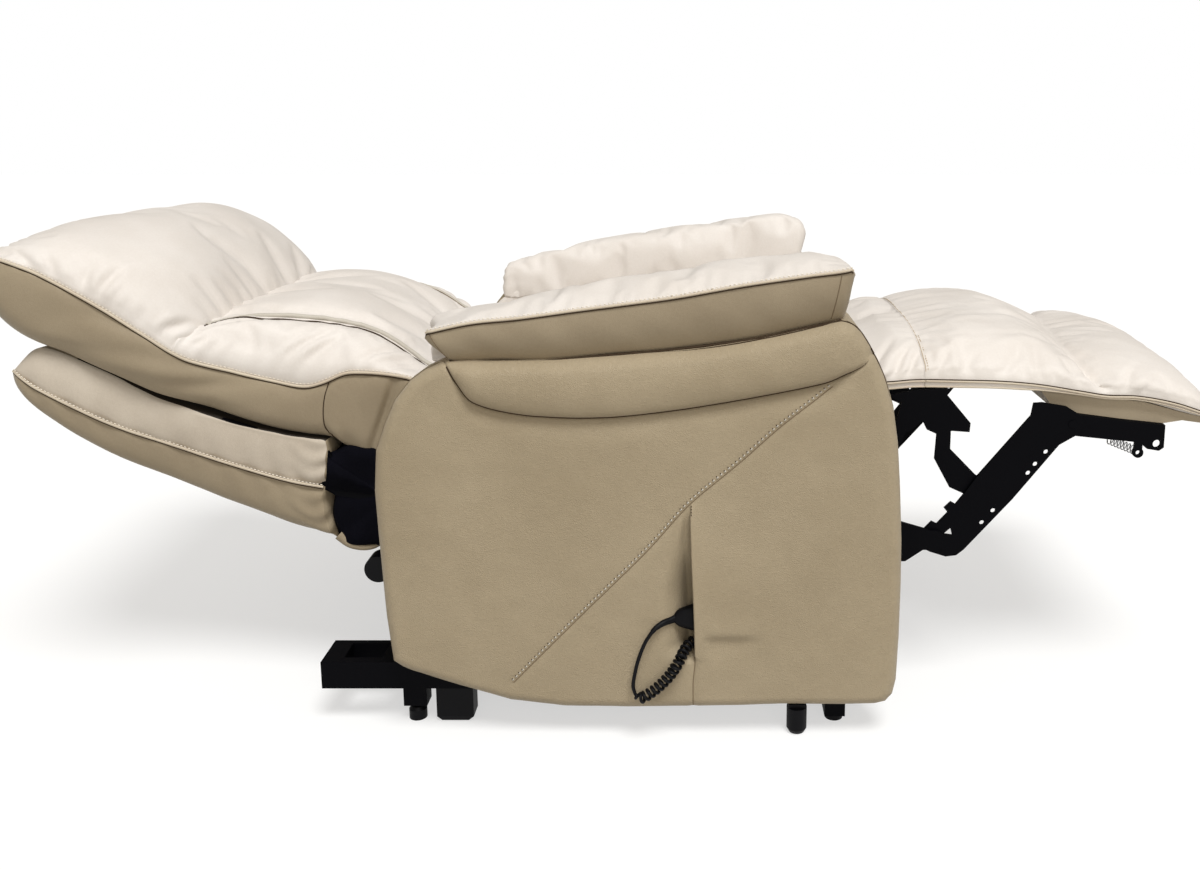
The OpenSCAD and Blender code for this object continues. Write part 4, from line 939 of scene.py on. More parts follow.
# signed distance to the diagonal seam
def seamGap(x, z):
    best = np.full(np.shape(x), 9.0)
    sign = np.ones(np.shape(x))
    for a, b in zip(diagonalSeam[:-1], diagonalSeam[1:]):
        d = b - a
        t = np.clip(((x - a[0]) * d[0] + (z - a[1]) * d[1]) / (d @ d), 0, 1)
        gap = np.hypot(x - a[0] - t * d[0], z - a[1] - t * d[1])
        side = np.sign(d[0] * (z - a[1]) - d[1] * (x - a[0]))
        closer = gap < best
        best = np.where(closer, gap, best)
        sign = np.where(closer, side, sign)
    return best * sign


# x of the slit and of the hollow behind it, the hollow's depth, z of the mouth, and how far
# forward and inwards the pocket goes
pocket = {"slit": 0.116, "scoop": 0.064, "deepest": 0.106, "depth": 0.035,
          "mouth": (0.126, 0.335), "length": 0.15, "floor": 0.3795}


# sideways shift that bends the slit of the pocket
def slitShift(z):
    return -0.006 * ease(z, 0.13, 0.35) - 0.003 * ease(-z, -0.120, -0.080)


# how far the cover behind the pocket's slit dips inwards
def pocketDip(x, z):
    start = pocket["scoop"] + 0.040 * ease(z, 0.21, 0.34)
    u = np.clip((x - start) / (pocket["deepest"] - start), 0, 1)
    tall = ease(z, 0.114, 0.140) * ease(-z, -0.350, -0.285)
    deep = pocket["depth"] * (1 - 0.72 * ease(z, 0.205, 0.290))
    return np.where(x <= pocket["slit"] + 1e-6, deep * u ** 2.0 * tall, 0.0)


# the soft swell of the pocket in front of its slit, and its lower edge
def pocketSwell(x, z):
    tall = np.sin(math.pi * np.clip((z - 0.115) / 0.235, 0, 1)) ** 0.6
    swell = 0.0045 * bell(x - 0.185, 0.07) * bell(z - 0.21, 0.08)
    lip = 0.0092 * np.exp(-(x - pocket["slit"]) / 0.013) * tall
    edge = 0.0034 * np.tanh((z - 0.153) / 0.0045) * ease(x, 0.125, 0.14) * ease(-x, -0.225, -0.165)
    edge *= bell(z - 0.153, 0.03)
    return np.where(x > pocket["slit"], swell + lip + edge, 0.0)


# distance of the arm's outer cover from the middle of the chair
def faceDepth(x, z, hasPocket):
    x, z = np.asarray(x, float), np.asarray(z, float)
    r = arm["round"]
    gap = edgeDistance(x, z)
    t = np.clip(1 - gap / r, 0, 1)
    y = arm["face"] - r * (1 - np.sqrt(np.maximum(1 - t ** 2, 0)))
    y = y + 0.0015 * ease(gap, 0.0, 0.1) - 0.0014 * bell(seamGap(x, z), 0.004)
    seam, top = panelHigh(x), rollTop(x)
    inside = (x > -0.224) & (x < 0.356)
    u = np.clip((z - seam) / np.maximum(top - seam, 1e-3), 0, 1)
    span = ease(x, -0.224, -0.180) * ease(-x, -0.352, -0.300) * inside
    # the roll's swell, the hollow below its seam, and the groove of the seam
    y = y + 0.0140 * span * np.sin(math.pi * u) ** 0.5 * (z > seam)
    y = y - 0.0055 * span * bell(np.minimum(seam - z, 0.09), 0.020) * (z <= seam)
    y = y - 0.0022 * inside * ease(-x, -0.356, -0.335) * bell(z - seam, 0.004)
    if hasPocket:
        y = y - pocketDip(x, z) + pocketSwell(x, z)
        y = y - 0.0016 * bell(x - pocket["slit"], 0.004) * (z < 0.120)
    flat = np.stack(np.broadcast_arrays(x, 0.0, z), axis=-1)
    return y + 0.0016 * noiseOn(flat, 6, 2.2) + 0.0005 * noiseOn(flat, 30, 8.0)


# points on the outer cover, 0 is flush with it
def onFace(x, z, side, hasPocket, out=0.0):
    y = faceDepth(x, z, hasPocket) + out
    shift = slitShift(z) * bell(x - pocket["slit"], 0.05) if hasPocket else 0.0
    return np.stack(np.broadcast_arrays(x + shift, side * y, z), axis=-1)


def panelColumns(hasPocket):
    u = np.sin(np.linspace(-math.pi / 2, math.pi / 2, 210))
    x = arm["middleX"] + u * arm["halfLength"]
    if hasPocket:
        slit = pocket["slit"]
        x = x[np.abs(x - slit) > 0.0012]
        x = np.r_[x, slit - 0.0075, slit - 0.005, slit - 0.0025, slit, slit + 0.0004, slit + 0.003]
        x = np.r_[x, np.linspace(0.06, 0.108, 16)]
    return np.unique(np.round(np.sort(x), 5))


def sidePanel(name, side, hasPocket):
    x = panelColumns(hasPocket)
    v = np.sin(np.linspace(-math.pi / 2, math.pi / 2, 140)) * 0.5 + 0.5
    low, high = panelLow(x)[:, None], panelHigh(x)[:, None] + 0.0005
    z = low + (high - low) * v[None, :]
    xx = np.repeat(x[:, None], len(v), axis=1)
    face = onFace(xx, z, side, hasPocket)
    inner = np.stack([xx, np.full_like(xx, side * arm["inner"]), z], axis=-1)[:, ::-1]
    grid = np.concatenate([face, inner], axis=1)
    rows, cols = grid.shape[:2]
    faces = []
    for i in range(rows - 1):
        for j in range(cols):
            k = (j + 1) % cols
            mid = z[i, min(j, len(v) - 1)]
            inMouth = j < len(v) and pocket["mouth"][0] < mid < pocket["mouth"][1]
            if hasPocket and inMouth and abs(x[i] - pocket["slit"]) < 1e-5:
                continue
            quad = (i * cols + j, i * cols + k, (i + 1) * cols + k, (i + 1) * cols + j)
            faces.append(quad if side < 0 else quad[::-1])
    # the front and rear ends are closed too
    last = (rows - 1) * cols
    for j in range(len(v) - 1):
        a, b, c, d = j, j + 1, cols - 2 - j, cols - 1 - j
        for quad in ((b, a, d, c), (last + a, last + b, last + c, last + d)):
            faces.append(quad if side < 0 else quad[::-1])
    # the panel takes the leather's copy darkened as painted shade
    return meshObject(name, grid.reshape(-1, 3), faces, sideLeather, closed=False)


def armRoll(name, side):
    stations = np.concatenate([np.linspace(-0.2225, 0.30, 120), np.linspace(0.302, 0.3545, 40)])
    v = np.sin(np.linspace(-math.pi / 2, math.pi / 2, 44)) * 0.5 + 0.5
    topCols, innerCols = 15, 11
    reach = arm["rollReach"]
    grid = []
    for x in stations:
        a = float(panelHigh(x)) - 0.0005
        b = max(float(rollTop(x)), a + 0.0012)
        z = a + (b - a) * v
        outer = onFace(np.full_like(z, x), z, side, False)
        y0 = abs(outer[-1, 1])
        across = np.linspace(y0, reach, topCols + 1)[1:]
        top = np.stack([np.full(topCols, x), side * across, np.full(topCols, b)], axis=-1)
        down = np.linspace(b, a, innerCols + 1)[1:]
        inner = np.stack([np.full(innerCols, x), np.full(innerCols, side * arm["rollInner"]), down],
                         axis=-1)
        outwards = np.linspace(reach, abs(outer[0, 1]), 14)[1:-1]
        under = np.stack([np.full(12, x), side * outwards, np.full(12, a)], axis=-1)
        grid.append(np.concatenate([outer, top, inner, under]))
    grid = np.array(grid)
    piece = skin(name, grid, sideLeather)
    # the roll has the leather's copy darkened as painted shade, and its side towards the seat has the
    # lit cream copy: painted shade and light of one leather
    start = len(v) + topCols
    recolour(piece, grid.shape[1], grid.shape[0], [(creamLeather, range(start, start + innerCols))])
    return piece


for side, label in ((-1, "Right"), (1, "Left")):
    panel = sidePanel("sidePanel" + label, side, side < 0)
    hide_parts("side_panel_" + label.lower(), *(("pocket_insert",) if side < 0 else ()))
    roll = armRoll("armRoll" + label, side)
    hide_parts("arm_roll_" + label.lower())
    for piece, fill in ((panel, 0.35), (roll, 0.6)):
        attach(piece, "carriage")
    # dark line of the roll's seam, fading out at the front
    xs = np.linspace(-0.219, 0.349, 200)
    line = onFace(xs, panelHigh(xs) + 0.0002, side, False, 0.0004)
    attach(tube("rollSeam" + label, line, 0.0012 * (1 - 0.85 * ease(xs, 0.31, 0.349)), seamShadow),
           "carriage")
    # welt along the top edge of the roll, under the pad and down the front
    path = smoothLine(mm(arm["rollWelt"]), 150)
    line = onFace(path[:, 0], path[:, 1], side, False, 0.0005)
    fade = ease(np.arange(150), 149, 118) * ease(np.arange(150), -4, 45)
    attach(tube("rollWelt" + label, line, 0.0011 * fade, seamShadow), "carriage")
    # diagonal seam with its stitches above it
    path = smoothLine(diagonalSeam, 260)
    attach(tube("diagonalSeam" + label, onFace(path[:, 0], path[:, 1], side, side < 0, -0.0001),
                0.0008, softSeam), "carriage")
    path = path + np.array([-0.0026, 0.0028])
    attach(stitchRow("diagonalStitch" + label, onFace(path[:, 0], path[:, 1], side, side < 0, 0.0002),
                     weltLeather, pitch=0.0068, length=0.0036, radius=0.0012),
           "carriage")
    path = path + np.array([-0.0011, 0.0012])
    attach(stitchRow("diagonalHoles" + label, onFace(path[:, 0], path[:, 1], side, side < 0, 0.0001),
                     seamShadow, pitch=0.0068, length=0.0014, radius=0.0009),
           "carriage")

# lining that closes each arm in front, behind and towards the seat: how far it lies inside
# the panel's outline, its lowest z, the y of both its sides, and the round of its edge
lining = {"inset": 0.0045, "floor": 0.104, "outer": 0.3722, "inner": 0.28085, "round": 0.010}
outline = np.concatenate([mm(arm["low"]), seamLine[::-1][8:-2]])
outline = np.concatenate([outline, outline[:1]])
steps = np.r_[0, np.cumsum(np.linalg.norm(np.diff(outline, axis=0), axis=1))]
evenly = np.linspace(0, steps[-1], 241)[:-1]
outline = np.stack([np.interp(evenly, steps, outline[:, k]) for k in (0, 1)], axis=1)
middle = np.array([0.04, 0.30])
for side, label in ((-1, "Right"), (1, "Left")):
    rings = []
    for t in np.r_[np.linspace(0, 0.85, 8), np.linspace(0.87, 1, 8)]:
        y = lining["outer"] + (lining["inner"] - lining["outer"]) * t
        u = np.clip(1 - (y - lining["inner"]) / lining["round"], 0, 1)
        inset = lining["inset"] + lining["round"] * (1 - math.sqrt(1 - 0.98 * u * u))
        away = outline - middle
        p = outline - away / np.linalg.norm(away, axis=1, keepdims=True) * inset
        z = np.maximum(p[:, 1], lining["floor"])
        rings.append(np.stack([p[:, 0], np.full(len(p), side * y), z], axis=-1))
    # the lining takes the leather's copy darkened as painted shade, and its face towards the seat
    # takes the lit cream copy
    piece = skin("armLining" + label, np.array(rings), sideLeather)
    piece.data.materials.append(creamLeather)
    for poly in piece.data.polygons:
        if all(abs(piece.data.vertices[q].co.y) < lining["inner"] + 0.006 for q in poly.vertices):
            poly.material_index = 1
    attach(piece, "carriage")

# the pocket's inside, and the folded lip of its mouth
slit = pocket["slit"]
mouthLow = pocket["mouth"][0]
z = np.linspace(mouthLow, 0.3365, 60)
xs = np.linspace(slit, slit + pocket["length"], 30)
mouth = np.abs(onFace(np.full_like(z, slit), z, -1, True)[:, 1])
liningRows, coverRows = [], []
for x in xs:
    t = min(1.0, (x - slit) / 0.02)
    floorY = mouth * (1 - t) + np.minimum(mouth, pocket["floor"]) * t
    liningRows.append(np.stack([x + slitShift(z), -floorY, z], axis=-1))
    depth = faceDepth(np.full_like(z, x + 0.0005), z, True) - 0.003
    shift = slitShift(z) * bell(x - slit, 0.05)
    coverRows.append(np.stack([x + shift, -np.maximum(depth, floorY), z], axis=-1))
pocketLining = openSheet("pocketLining", np.array(liningRows), shadeLeather)
pocketSkin = openSheet("pocketSkin", np.array(coverRows), shadeLeather)
lipLine = onFace(np.full_like(z, slit + 0.0006), z, -1, True, -0.0016)
# the lip takes the leather's copy darkened as painted shade
pocketLip = tube("pocketLip", lipLine, 0.0016, sideLeather)
for piece in (pocketLining, pocketSkin, pocketLip):
    attach(piece, "carriage")
z = np.linspace(0.047, mouthLow, 30)
attach(tube("pocketSeamLow", onFace(np.full_like(z, slit), z, -1, True, -0.0001), 0.0008,
            softSeam), "carriage")
z = np.linspace(0.333, 0.348, 12)
attach(stitchRow("pocketTack", onFace(np.full_like(z, slit + 0.0006), z, -1, True, 0.0001),
                 seamShadow, pitch=0.0036, length=0.0022), "carriage")
print("panels made")

pads = {
    "seam": [(-249, 588), (-184, 602), (-117, 609), (-44, 619), (18, 627), (91, 637), (181, 653),
             (270, 666), (310, 671), (329, 675)],
    "under": [(-249, 547), (-228, 546), (-147, 548), (-66, 550), (15, 557), (123, 568),
              (203, 580), (283, 597), (329, 606)],
    "crown": [(-249, 589), (-240, 595), (-195, 606), (-150, 616), (-85, 631), (12, 648),
              (89, 662), (156, 672), (237, 681), (285, 684), (312, 681), (329, 675)],
    "middle": 0.34625, "halfWidth": 0.06675, "endRound": 0.013, "ends": (-0.2485, 0.3285),
}
padSeam, padUnder, padCrown = (along(pads[k]) for k in ("seam", "under", "crown"))


# rings along the pad: outer face, crown with one piped edge, and a soft inner side
def armPad(name, side, seed):
    low, high = pads["ends"]
    r = pads["endRound"]
    ends = np.linspace(0, math.pi / 2, 9)
    inset = np.r_[r * (1 - np.sin(ends)), np.zeros(104), r * (1 - np.sin(ends[::-1]))]
    stations = np.r_[low + r * (1 - np.cos(ends)), np.linspace(low + r, high - r, 106)[1:-1],
                     high - r * (1 - np.cos(ends[::-1]))]
    rise = np.linspace(0, 1, 16)
    top = np.linspace(0, math.pi, 54)
    crest = 0.76
    grid = []
    for x, cut in zip(stations, inset):
        a, b, c = float(padUnder(x)), float(padSeam(x)), float(padCrown(x))
        c -= 0.008 if side > 0 else 0    # the far pad is a little lower
        mid, w = pads["middle"], pads["halfWidth"] - cut
        a, c = a + cut * 0.6, c - cut * 0.7
        b = min(b, c - (0.012 if side > 0 else 0.002))
        outerY = mid + w + 0.0030 * np.sin(math.pi * rise) - 0.016 * (1 - rise) ** 2.2
        outerZ = a + (b - a) * rise
        # the crest lies near the inner side, which falls steeply
        u = (1 - np.cos(top)) / 2
        ty = mid + w - 2 * w * u
        foot = a - 0.026
        tz = np.where(u < crest, b + (c - b) * np.sin(math.pi / 2 * np.minimum(u / crest, 1)) ** 0.75,
                      foot + (c - foot) * np.sqrt(1 - (np.maximum(u - crest, 0) / (1 - crest)) ** 2.4))
        under = np.linspace(mid - w + 0.006, mid + w - 0.018, 12)
        y = np.r_[outerY, ty[1:], under]
        z = np.r_[outerZ, tz[1:], np.linspace(foot, a, 12)]
        # the ends slant outwards with the height
        lean = np.clip((z - a) / max(b - a, 1e-3), 0, 1)
        above = np.maximum(z - b, 0)
        inner = ease(mid + w - y, 0.05, 0.11)
        slantRear = 0.024 * (1 - lean) * (1 - inner) + 0.25 * above - 0.016 * inner
        slantFront = -0.0085 * (1 - lean) - 0.35 * above
        slantRear, slantFront = slantRear * ease(-x, 0.10, -low), slantFront * ease(x, 0.2, high)
        grid.append(np.stack([x + slantRear + slantFront, side * y, z], axis=-1))
    grid = np.array(grid)
    # columns of a ring: the outer face up to the seam, then the crown, then the hidden side
    faceCols = len(rise)
    crownEnd = faceCols + len(top) - 1
    xCol = stations[:, None]
    fromSeam = np.arange(crownEnd - faceCols)[None, :]
    lift = np.zeros(grid.shape[:2])
    lift[:, faceCols:crownEnd] = (
        puckers(fromSeam * 0.0035, xCol, 0.0019, 0.017, 0.014, seed)
        + puckers(xCol + 0.249, fromSeam * 0.005, 0.0014, 0.031, 0.022, seed + 2)
        + puckers(0.329 - xCol, fromSeam * 0.005, 0.0012, 0.037, 0.022, seed + 4))
    ripple = np.sin(2 * math.pi * (xCol * 13 + rise[None, :] * 0.6 + seed))
    lift[:, :faceCols] = 0.0007 * ripple * np.sin(math.pi * rise)[None, :]
    lift += 0.0035 * noiseOn(grid, (6, 7, 7), seed)
    grid = grid + ringNormals(grid) * lift[..., None]
    piece = skin(name, grid, creamLeather)
    # the outer face has the leather's darker copy, as painted shade on a face turned from the light
    piece.data.materials.append(bandLeather)
    cols = grid.shape[1]
    for poly in piece.data.polygons:
        j = [q % cols for q in poly.vertices if q < grid.shape[0] * cols]
        if len(j) == 4 and max(j) < faceCols:
            poly.material_index = 1
    keep = heldPoints(piece, grid, faceCols + 1, crownEnd, ends=10)
    asCloth(piece, keep, pressure=1.2, cap=0.006, grow=0.02)
    return piece, grid, faceCols


for side, label, seed in ((-1, "Right", 4.0), (1, "Left", 9.0)):
    pad, padGrid, faceCols = armPad("armPad" + label, side, seed)
    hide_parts("arm_pad_" + label.lower())
    attach(pad, "carriage")
    line = padGrid[4:-4, faceCols - 1] + np.array([0, side * 0.0006, 0.0004])
    pipedSeam("arm", "Stitch", label, line, "carriage", 0.0020,
              (side * 0.0004, -0.0028, 0.0010), (-side * 0.0006, 0.0034), pitch=0.0060, length=0.0036)
    line = padGrid[6:-6, 0] + np.array([0, side * 0.0030, -0.0006])
    attach(tube("padFootShade" + label, line, 0.0017, seamShadow), "carriage")
    # upright seams near both ends of the outer face
    for word, low, high in (("Rear", -0.217, -0.241), ("Front", 0.298, 0.311)):
        line = []
        for j in range(1, faceCols - 1):
            want = low + (high - low) * j / (faceCols - 1)
            i = np.interp(want, padGrid[:, j, 0], np.arange(len(padGrid)))
            line.append(padGrid[int(i), j] * (1 - i % 1) + padGrid[int(i) + 1, j] * (i % 1))
        attach(tube("padEndSeam" + label + word, np.array(line) + np.array([0, side * 0.0001, 0]),
                    0.0007, softSeam), "carriage")
print("arms made")

foot = {
    "edge": [(345, 486), (399, 486), (443, 488.5), (494, 488), (569, 486), (627, 481), (689, 471),
             (727, 465), (774, 463.5), (827, 454), (868, 441), (893, 431), (903, 426)],
    "crown": [(345, 516), (392, 532), (425, 545), (452, 549), (480, 554), (520, 557), (600, 556),
              (640, 549), (690, 532), (716, 524), (735, 520), (765, 521), (800, 514), (835, 503),
              (868, 489), (888, 474), (898, 458), (903, 440)],
    "under": [(345, 470), (399, 474), (430, 479), (452, 480), (506, 484), (581, 482), (639, 478),
              (705, 464), (735, 460), (786, 454), (843, 438), (880, 429), (903, 424)],
    "width": [(345, 268), (399, 266), (452, 262), (860, 262), (885, 257), (898, 246), (903, 230)],
    "tape": [(345, 12), (590, 11.5), (640, 9), (700, 6.5), (750, 6.5), (850, 8), (903, 5)],
    "channel": [(-262, 727.5), (-230, 707), (-148, 699), (-40, 710), (76, 728), (262, 750)],
    # folds: start and end as x and y, then height and width
    "folds": [(0.470, -0.262, 0.500, -0.226, -0.0035, 0.006),
              (0.478, -0.240, 0.520, -0.205, 0.0030, 0.007),
              (0.500, -0.262, 0.540, -0.235, -0.0030, 0.006),
              (0.520, -0.235, 0.640, -0.190, 0.0022, 0.006),
              (0.560, -0.262, 0.600, -0.240, -0.0020, 0.006),
              (0.540, -0.200, 0.680, -0.170, -0.0022, 0.006),
              (0.500, -0.15, 0.620, -0.11, 0.0020, 0.007),
              (0.520, -0.12, 0.66, -0.07, -0.0022, 0.006),
              (0.57, -0.04, 0.69, 0.0, 0.0020, 0.007),
              (0.55, 0.06, 0.68, 0.1, -0.0020, 0.007),
              (0.69, -0.262, 0.66, -0.215, -0.0035, 0.006),
              (0.705, -0.258, 0.685, -0.20, 0.0030, 0.006),
              (0.75, -0.262, 0.79, -0.21, -0.0035, 0.006),
              (0.765, -0.262, 0.81, -0.225, 0.0028, 0.006)],
    "bridgeFolds": [(0.368, -0.262, 0.420, -0.190, -0.0050, 0.007),
                    (0.384, -0.266, 0.430, -0.210, 0.0035, 0.008),
                    (0.404, -0.264, 0.444, -0.205, -0.0060, 0.006),
                    (0.428, -0.262, 0.452, -0.228, -0.0045, 0.005),
                    (0.418, -0.240, 0.450, -0.190, 0.0030, 0.007),
                    (0.352, -0.262, 0.372, -0.22, 0.004, 0.008)],
}
padShapes = ("edge", "crown", "under", "width", "tape")
footEdge, footCrown, footUnder, footWidth, footTape = (along(foot[k]) for k in padShapes)


# rings across a seat or foot pad: crowned top, side tape, flat underside
def padRings(stations, edge, crown, under, width, tape, topCount=84):
    t = np.sin(np.linspace(-math.pi / 2, math.pi / 2, topCount))
    t = 0.6 * t + 0.4 * np.linspace(-1, 1, topCount)
    h = (1 - np.abs(t) ** 3.0) ** 0.6
    grid = []
    for x in stations:
        e, c, u, w, d = (float(f(x)) for f in (edge, crown, under, width, tape))
        side = np.linspace(0, 1, 5)[1:]
        fy = w - 0.0005 * side
        fz = e - d * side
        uy = np.linspace(w - 0.006, -w + 0.006, 20)
        wide = np.sign(t) * (np.abs(t) * w + 0.0065 * bell(np.abs(t) - 0.955, 0.030))
        y = np.r_[wide, fy, uy, -fy[::-1]]
        z = np.r_[e + (c - e) * h, fz, np.full(20, u), fz[::-1]]
        grid.append(np.stack([np.full_like(y, x), y, z], axis=-1))
    return np.array(grid), t


stations = np.concatenate([np.linspace(0.455, 0.86, 104), np.linspace(0.864, 0.903, 20)])
footPadGrid, footT = padRings(stations, footEdge, footCrown, footUnder, footWidth, footTape)
crownCols = len(footT)
xCol = stations[:, None]
tRow = footT[None, :]
yAbs = -np.abs(tRow) * 0.262
# the sewn channel runs aslant and fades towards the far side
channel = along(foot["channel"])(tRow * 0.262)
deep = 0.35 + 0.65 * ease(-tRow, -0.6, 0.9)
gap = xCol - channel
lift = np.zeros(footPadGrid.shape[:2])
lift[:, :crownCols] = (deep * (-0.0075 * bell(gap, 0.0085) - 0.0045 * bell(gap, 0.026))
               + puckers(np.abs(gap), tRow * 0.26, 0.0018, 0.036, 0.025, 3.3)
               + puckers(xCol - 0.455, tRow * 0.26, 0.0022, 0.024, 0.022, 5.1)
               + puckers((1 - np.abs(tRow)) * 0.26, xCol, 0.0012, 0.030, 0.030, 1.4)
               + puckers(0.903 - xCol, tRow * 0.26, 0.0020, 0.040, 0.03, 0.4)
               + creases(xCol, yAbs, foot["folds"]))
lift[:, :crownCols] += 0.005 * noiseOn(footPadGrid[:, :crownCols], (8, 6, 8), 5.5)
lift[:, :crownCols] += 0.0012 * noiseOn(footPadGrid[:, :crownCols], (12, 60, 12), 1.5)
lift[:, :crownCols] *= (ease(1 - np.abs(tRow), 0, 0.03) * ease(xCol, 0.455, 0.461)
                        * ease(-xCol, -0.903, -0.895))
footPadGrid += ringNormals(footPadGrid) * lift[..., None]
footPad = skin("footrestPad", footPadGrid, creamLeather)
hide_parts("bridge_pad", "foot_pad")
attach(footPad, "footrest")
cols = footPadGrid.shape[1]
keep = heldPoints(footPad, footPadGrid, 2, crownCols - 2)
keep += [i * cols + j for i in range(len(stations)) for j in range(crownCols)
         if abs(gap[i, j]) < 0.006 and footT[j] < 0.5]
asCloth(footPad, keep, pressure=1.5, cap=0.010, grow=0.022)

# cover that bridges from the seat to the first seam of the footrest
bridgeStations = np.linspace(0.345, 0.4565, 40)
bridgeGrid, _ = padRings(bridgeStations, footEdge, footCrown, footUnder, footWidth, footTape)
xCol = bridgeStations[:, None]
lift = np.zeros(bridgeGrid.shape[:2])
lift[:, :crownCols] = (puckers(0.457 - xCol, tRow * 0.26, 0.0018, 0.027, 0.020, 5.1)
               + creases(xCol, yAbs, foot["bridgeFolds"])
               + 0.006 * noiseOn(bridgeGrid[:, :crownCols], (9, 6, 9), 2.5))
lift[:, :crownCols] *= ease(1 - np.abs(tRow), 0, 0.025) * ease(-xCol, -0.4565, -0.451)
bridgeGrid += ringNormals(bridgeGrid) * lift[..., None]
footBridge = skin("footrestBridge", bridgeGrid, creamLeather)
asCloth(footBridge, heldPoints(footBridge, bridgeGrid, 2, crownCols - 2),
        pressure=1.0, cap=0.006, grow=0.02)

seat = {
    "edge": [(-160, 470), (-100, 480), (0, 486), (200, 492), (340, 492), (380, 486), (392, 470)],
    "crown": [(-160, 474), (-145, 495), (-100, 503), (0, 510), (200, 518), (330, 520), (372, 514),
              (392, 474)],
    "under": [(-160, 433), (392, 433)],
    "width": [(-160, 266), (-130, 274), (360, 274), (392, 266)],
    "tape": [(-160, 34), (0, 50), (340, 56), (392, 36)],
    "betweenArms": 0.2795,
}
seatStations = np.concatenate([np.linspace(-0.160, -0.13, 10), np.linspace(-0.125, 0.36, 70),
                               np.linspace(0.364, 0.392, 10)])
seatGrid, _ = padRings(seatStations, *(along(seat[k]) for k in padShapes))
xCol = seatStations[:, None]
lift = np.zeros(seatGrid.shape[:2])
lift[:, :crownCols] = (puckers((1 - np.abs(tRow)) * 0.27, xCol, 0.0018, 0.032, 0.03, 2.2)
               + puckers(xCol + 0.16, tRow * 0.27, 0.0020, 0.040, 0.03, 3.4)
               + 0.005 * noiseOn(seatGrid[:, :crownCols], 6, 9.5))
lift[:, :crownCols] *= ease(1 - np.abs(tRow), 0, 0.05)
seatGrid += ringNormals(seatGrid) * lift[..., None]
seatPad = skin("seatPad", seatGrid, creamLeather)
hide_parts("seat_cushion")
attach(seatPad, "carriage")
asCloth(seatPad, heldPoints(seatPad, seatGrid, 2, crownCols - 2, ends=3),
        pressure=1.5, cap=0.010, grow=0.02)

runCloth()
for vert in seatPad.data.vertices:    # the arms hold it on both sides
    vert.co.y = min(max(vert.co.y, -seat["betweenArms"]), seat["betweenArms"])
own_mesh(seatPad)
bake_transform(footBridge)


# a round strip as a mesh, for the lines along the footrest and the bridge
def strip(name, points, radius, mat):
    a = np.linspace(0, 2 * math.pi, 9)[:-1]
    grid = points[:, None] + radius * np.stack([0 * a, np.cos(a), np.sin(a)], axis=-1)[None]
    return skin(name, grid, mat, capRings=1)


for side, label in ((-1, "Near"), (1, "Far")):
    for part, x in (("", np.linspace(0.4568, 0.897, 130)), ("Bridge", np.linspace(0.365, 0.4565, 40))):
        top = np.stack([x, side * (footWidth(x) + 0.0003), footEdge(x) + 0.0002], axis=-1)
        hem = top - np.array([0, 0, 1]) * footTape(x)[:, None]
        for word, line, thick, mat in (
                ("footEdgeShade", top, 0.0009, seamShadow),
                ("footEdgePiping", top + np.array([0, side * 0.0006, -0.0026]), 0.0017, pipingLeather),
                ("footTapeHem", hem + np.array([0, side * 0.0002, 0.0012]), 0.0013, pipingLeather)):
            piece = strip(word + part + label, line, thick, mat)
            if part:
                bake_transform(piece)
            else:
                attach(piece, "footrest")
seamRow = footPadGrid[1, 2:crownCols - 2]
attach(tube("footSeam", seamRow - np.array([0.001, 0, -0.0001]), 0.0006, tanThread), "footrest")
attach(stitchRow("footSeamStitch", seamRow[:18] + np.array([0.0024, 0, 0.0008]), tanThread,
                 lift=(0, 0, 1), pitch=0.0056), "footrest")
print("seat and footrest made")

# handset: a moulded shell round the CAD body's place, with its nose flared into the relief
handset = {"nose": (0.087, -0.40192, 0.178), "tilt": math.radians(6), "keys": (0.034, 0.134),
           # along from the nose, half thickness and half width, the last two in millimetres
           "rings": [(-0.002, 3.2, 3.2), (0.000, 5.6, 6.5), (0.004, 6.6, 10.5), (0.010, 8.2, 13.5),
                     (0.018, 10.0, 16.0), (0.028, 10.9, 19.5), (0.040, 11.0, 22.5),
                     (0.060, 11.0, 23.0), (0.100, 11.0, 23.0), (0.138, 11.0, 22.6),
                     (0.146, 10.2, 20.5), (0.150, 8.0, 17.0)]}
rings = []
turn = np.linspace(0, 2 * math.pi, 41)[:-1]
fine = smoothLine(np.array(handset["rings"]) * [1, 0.001, 0.001], 60)
for h, halfT, halfW in fine:
    c, s = np.cos(turn), np.sin(turn)
    ey = halfT * np.sign(c) * np.abs(c) ** 0.7
    ez = halfW * np.sign(s) * np.abs(s) ** 0.7
    # the face is flat where the rocker keys sit
    ey = np.maximum(ey, -0.0062) if handset["keys"][0] < h < handset["keys"][1] else ey
    x = handset["nose"][0] + h * math.cos(handset["tilt"]) - ey * math.sin(handset["tilt"])
    y = handset["nose"][1] + h * math.sin(handset["tilt"]) + ey * math.cos(handset["tilt"])
    rings.append(np.stack([x, y, handset["nose"][2] + ez], axis=-1))
handsetShell = skin("handsetShell", np.array(rings), blackPlastic, capRings=3)
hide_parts("handset_body")
attach(handsetShell, "carriage")

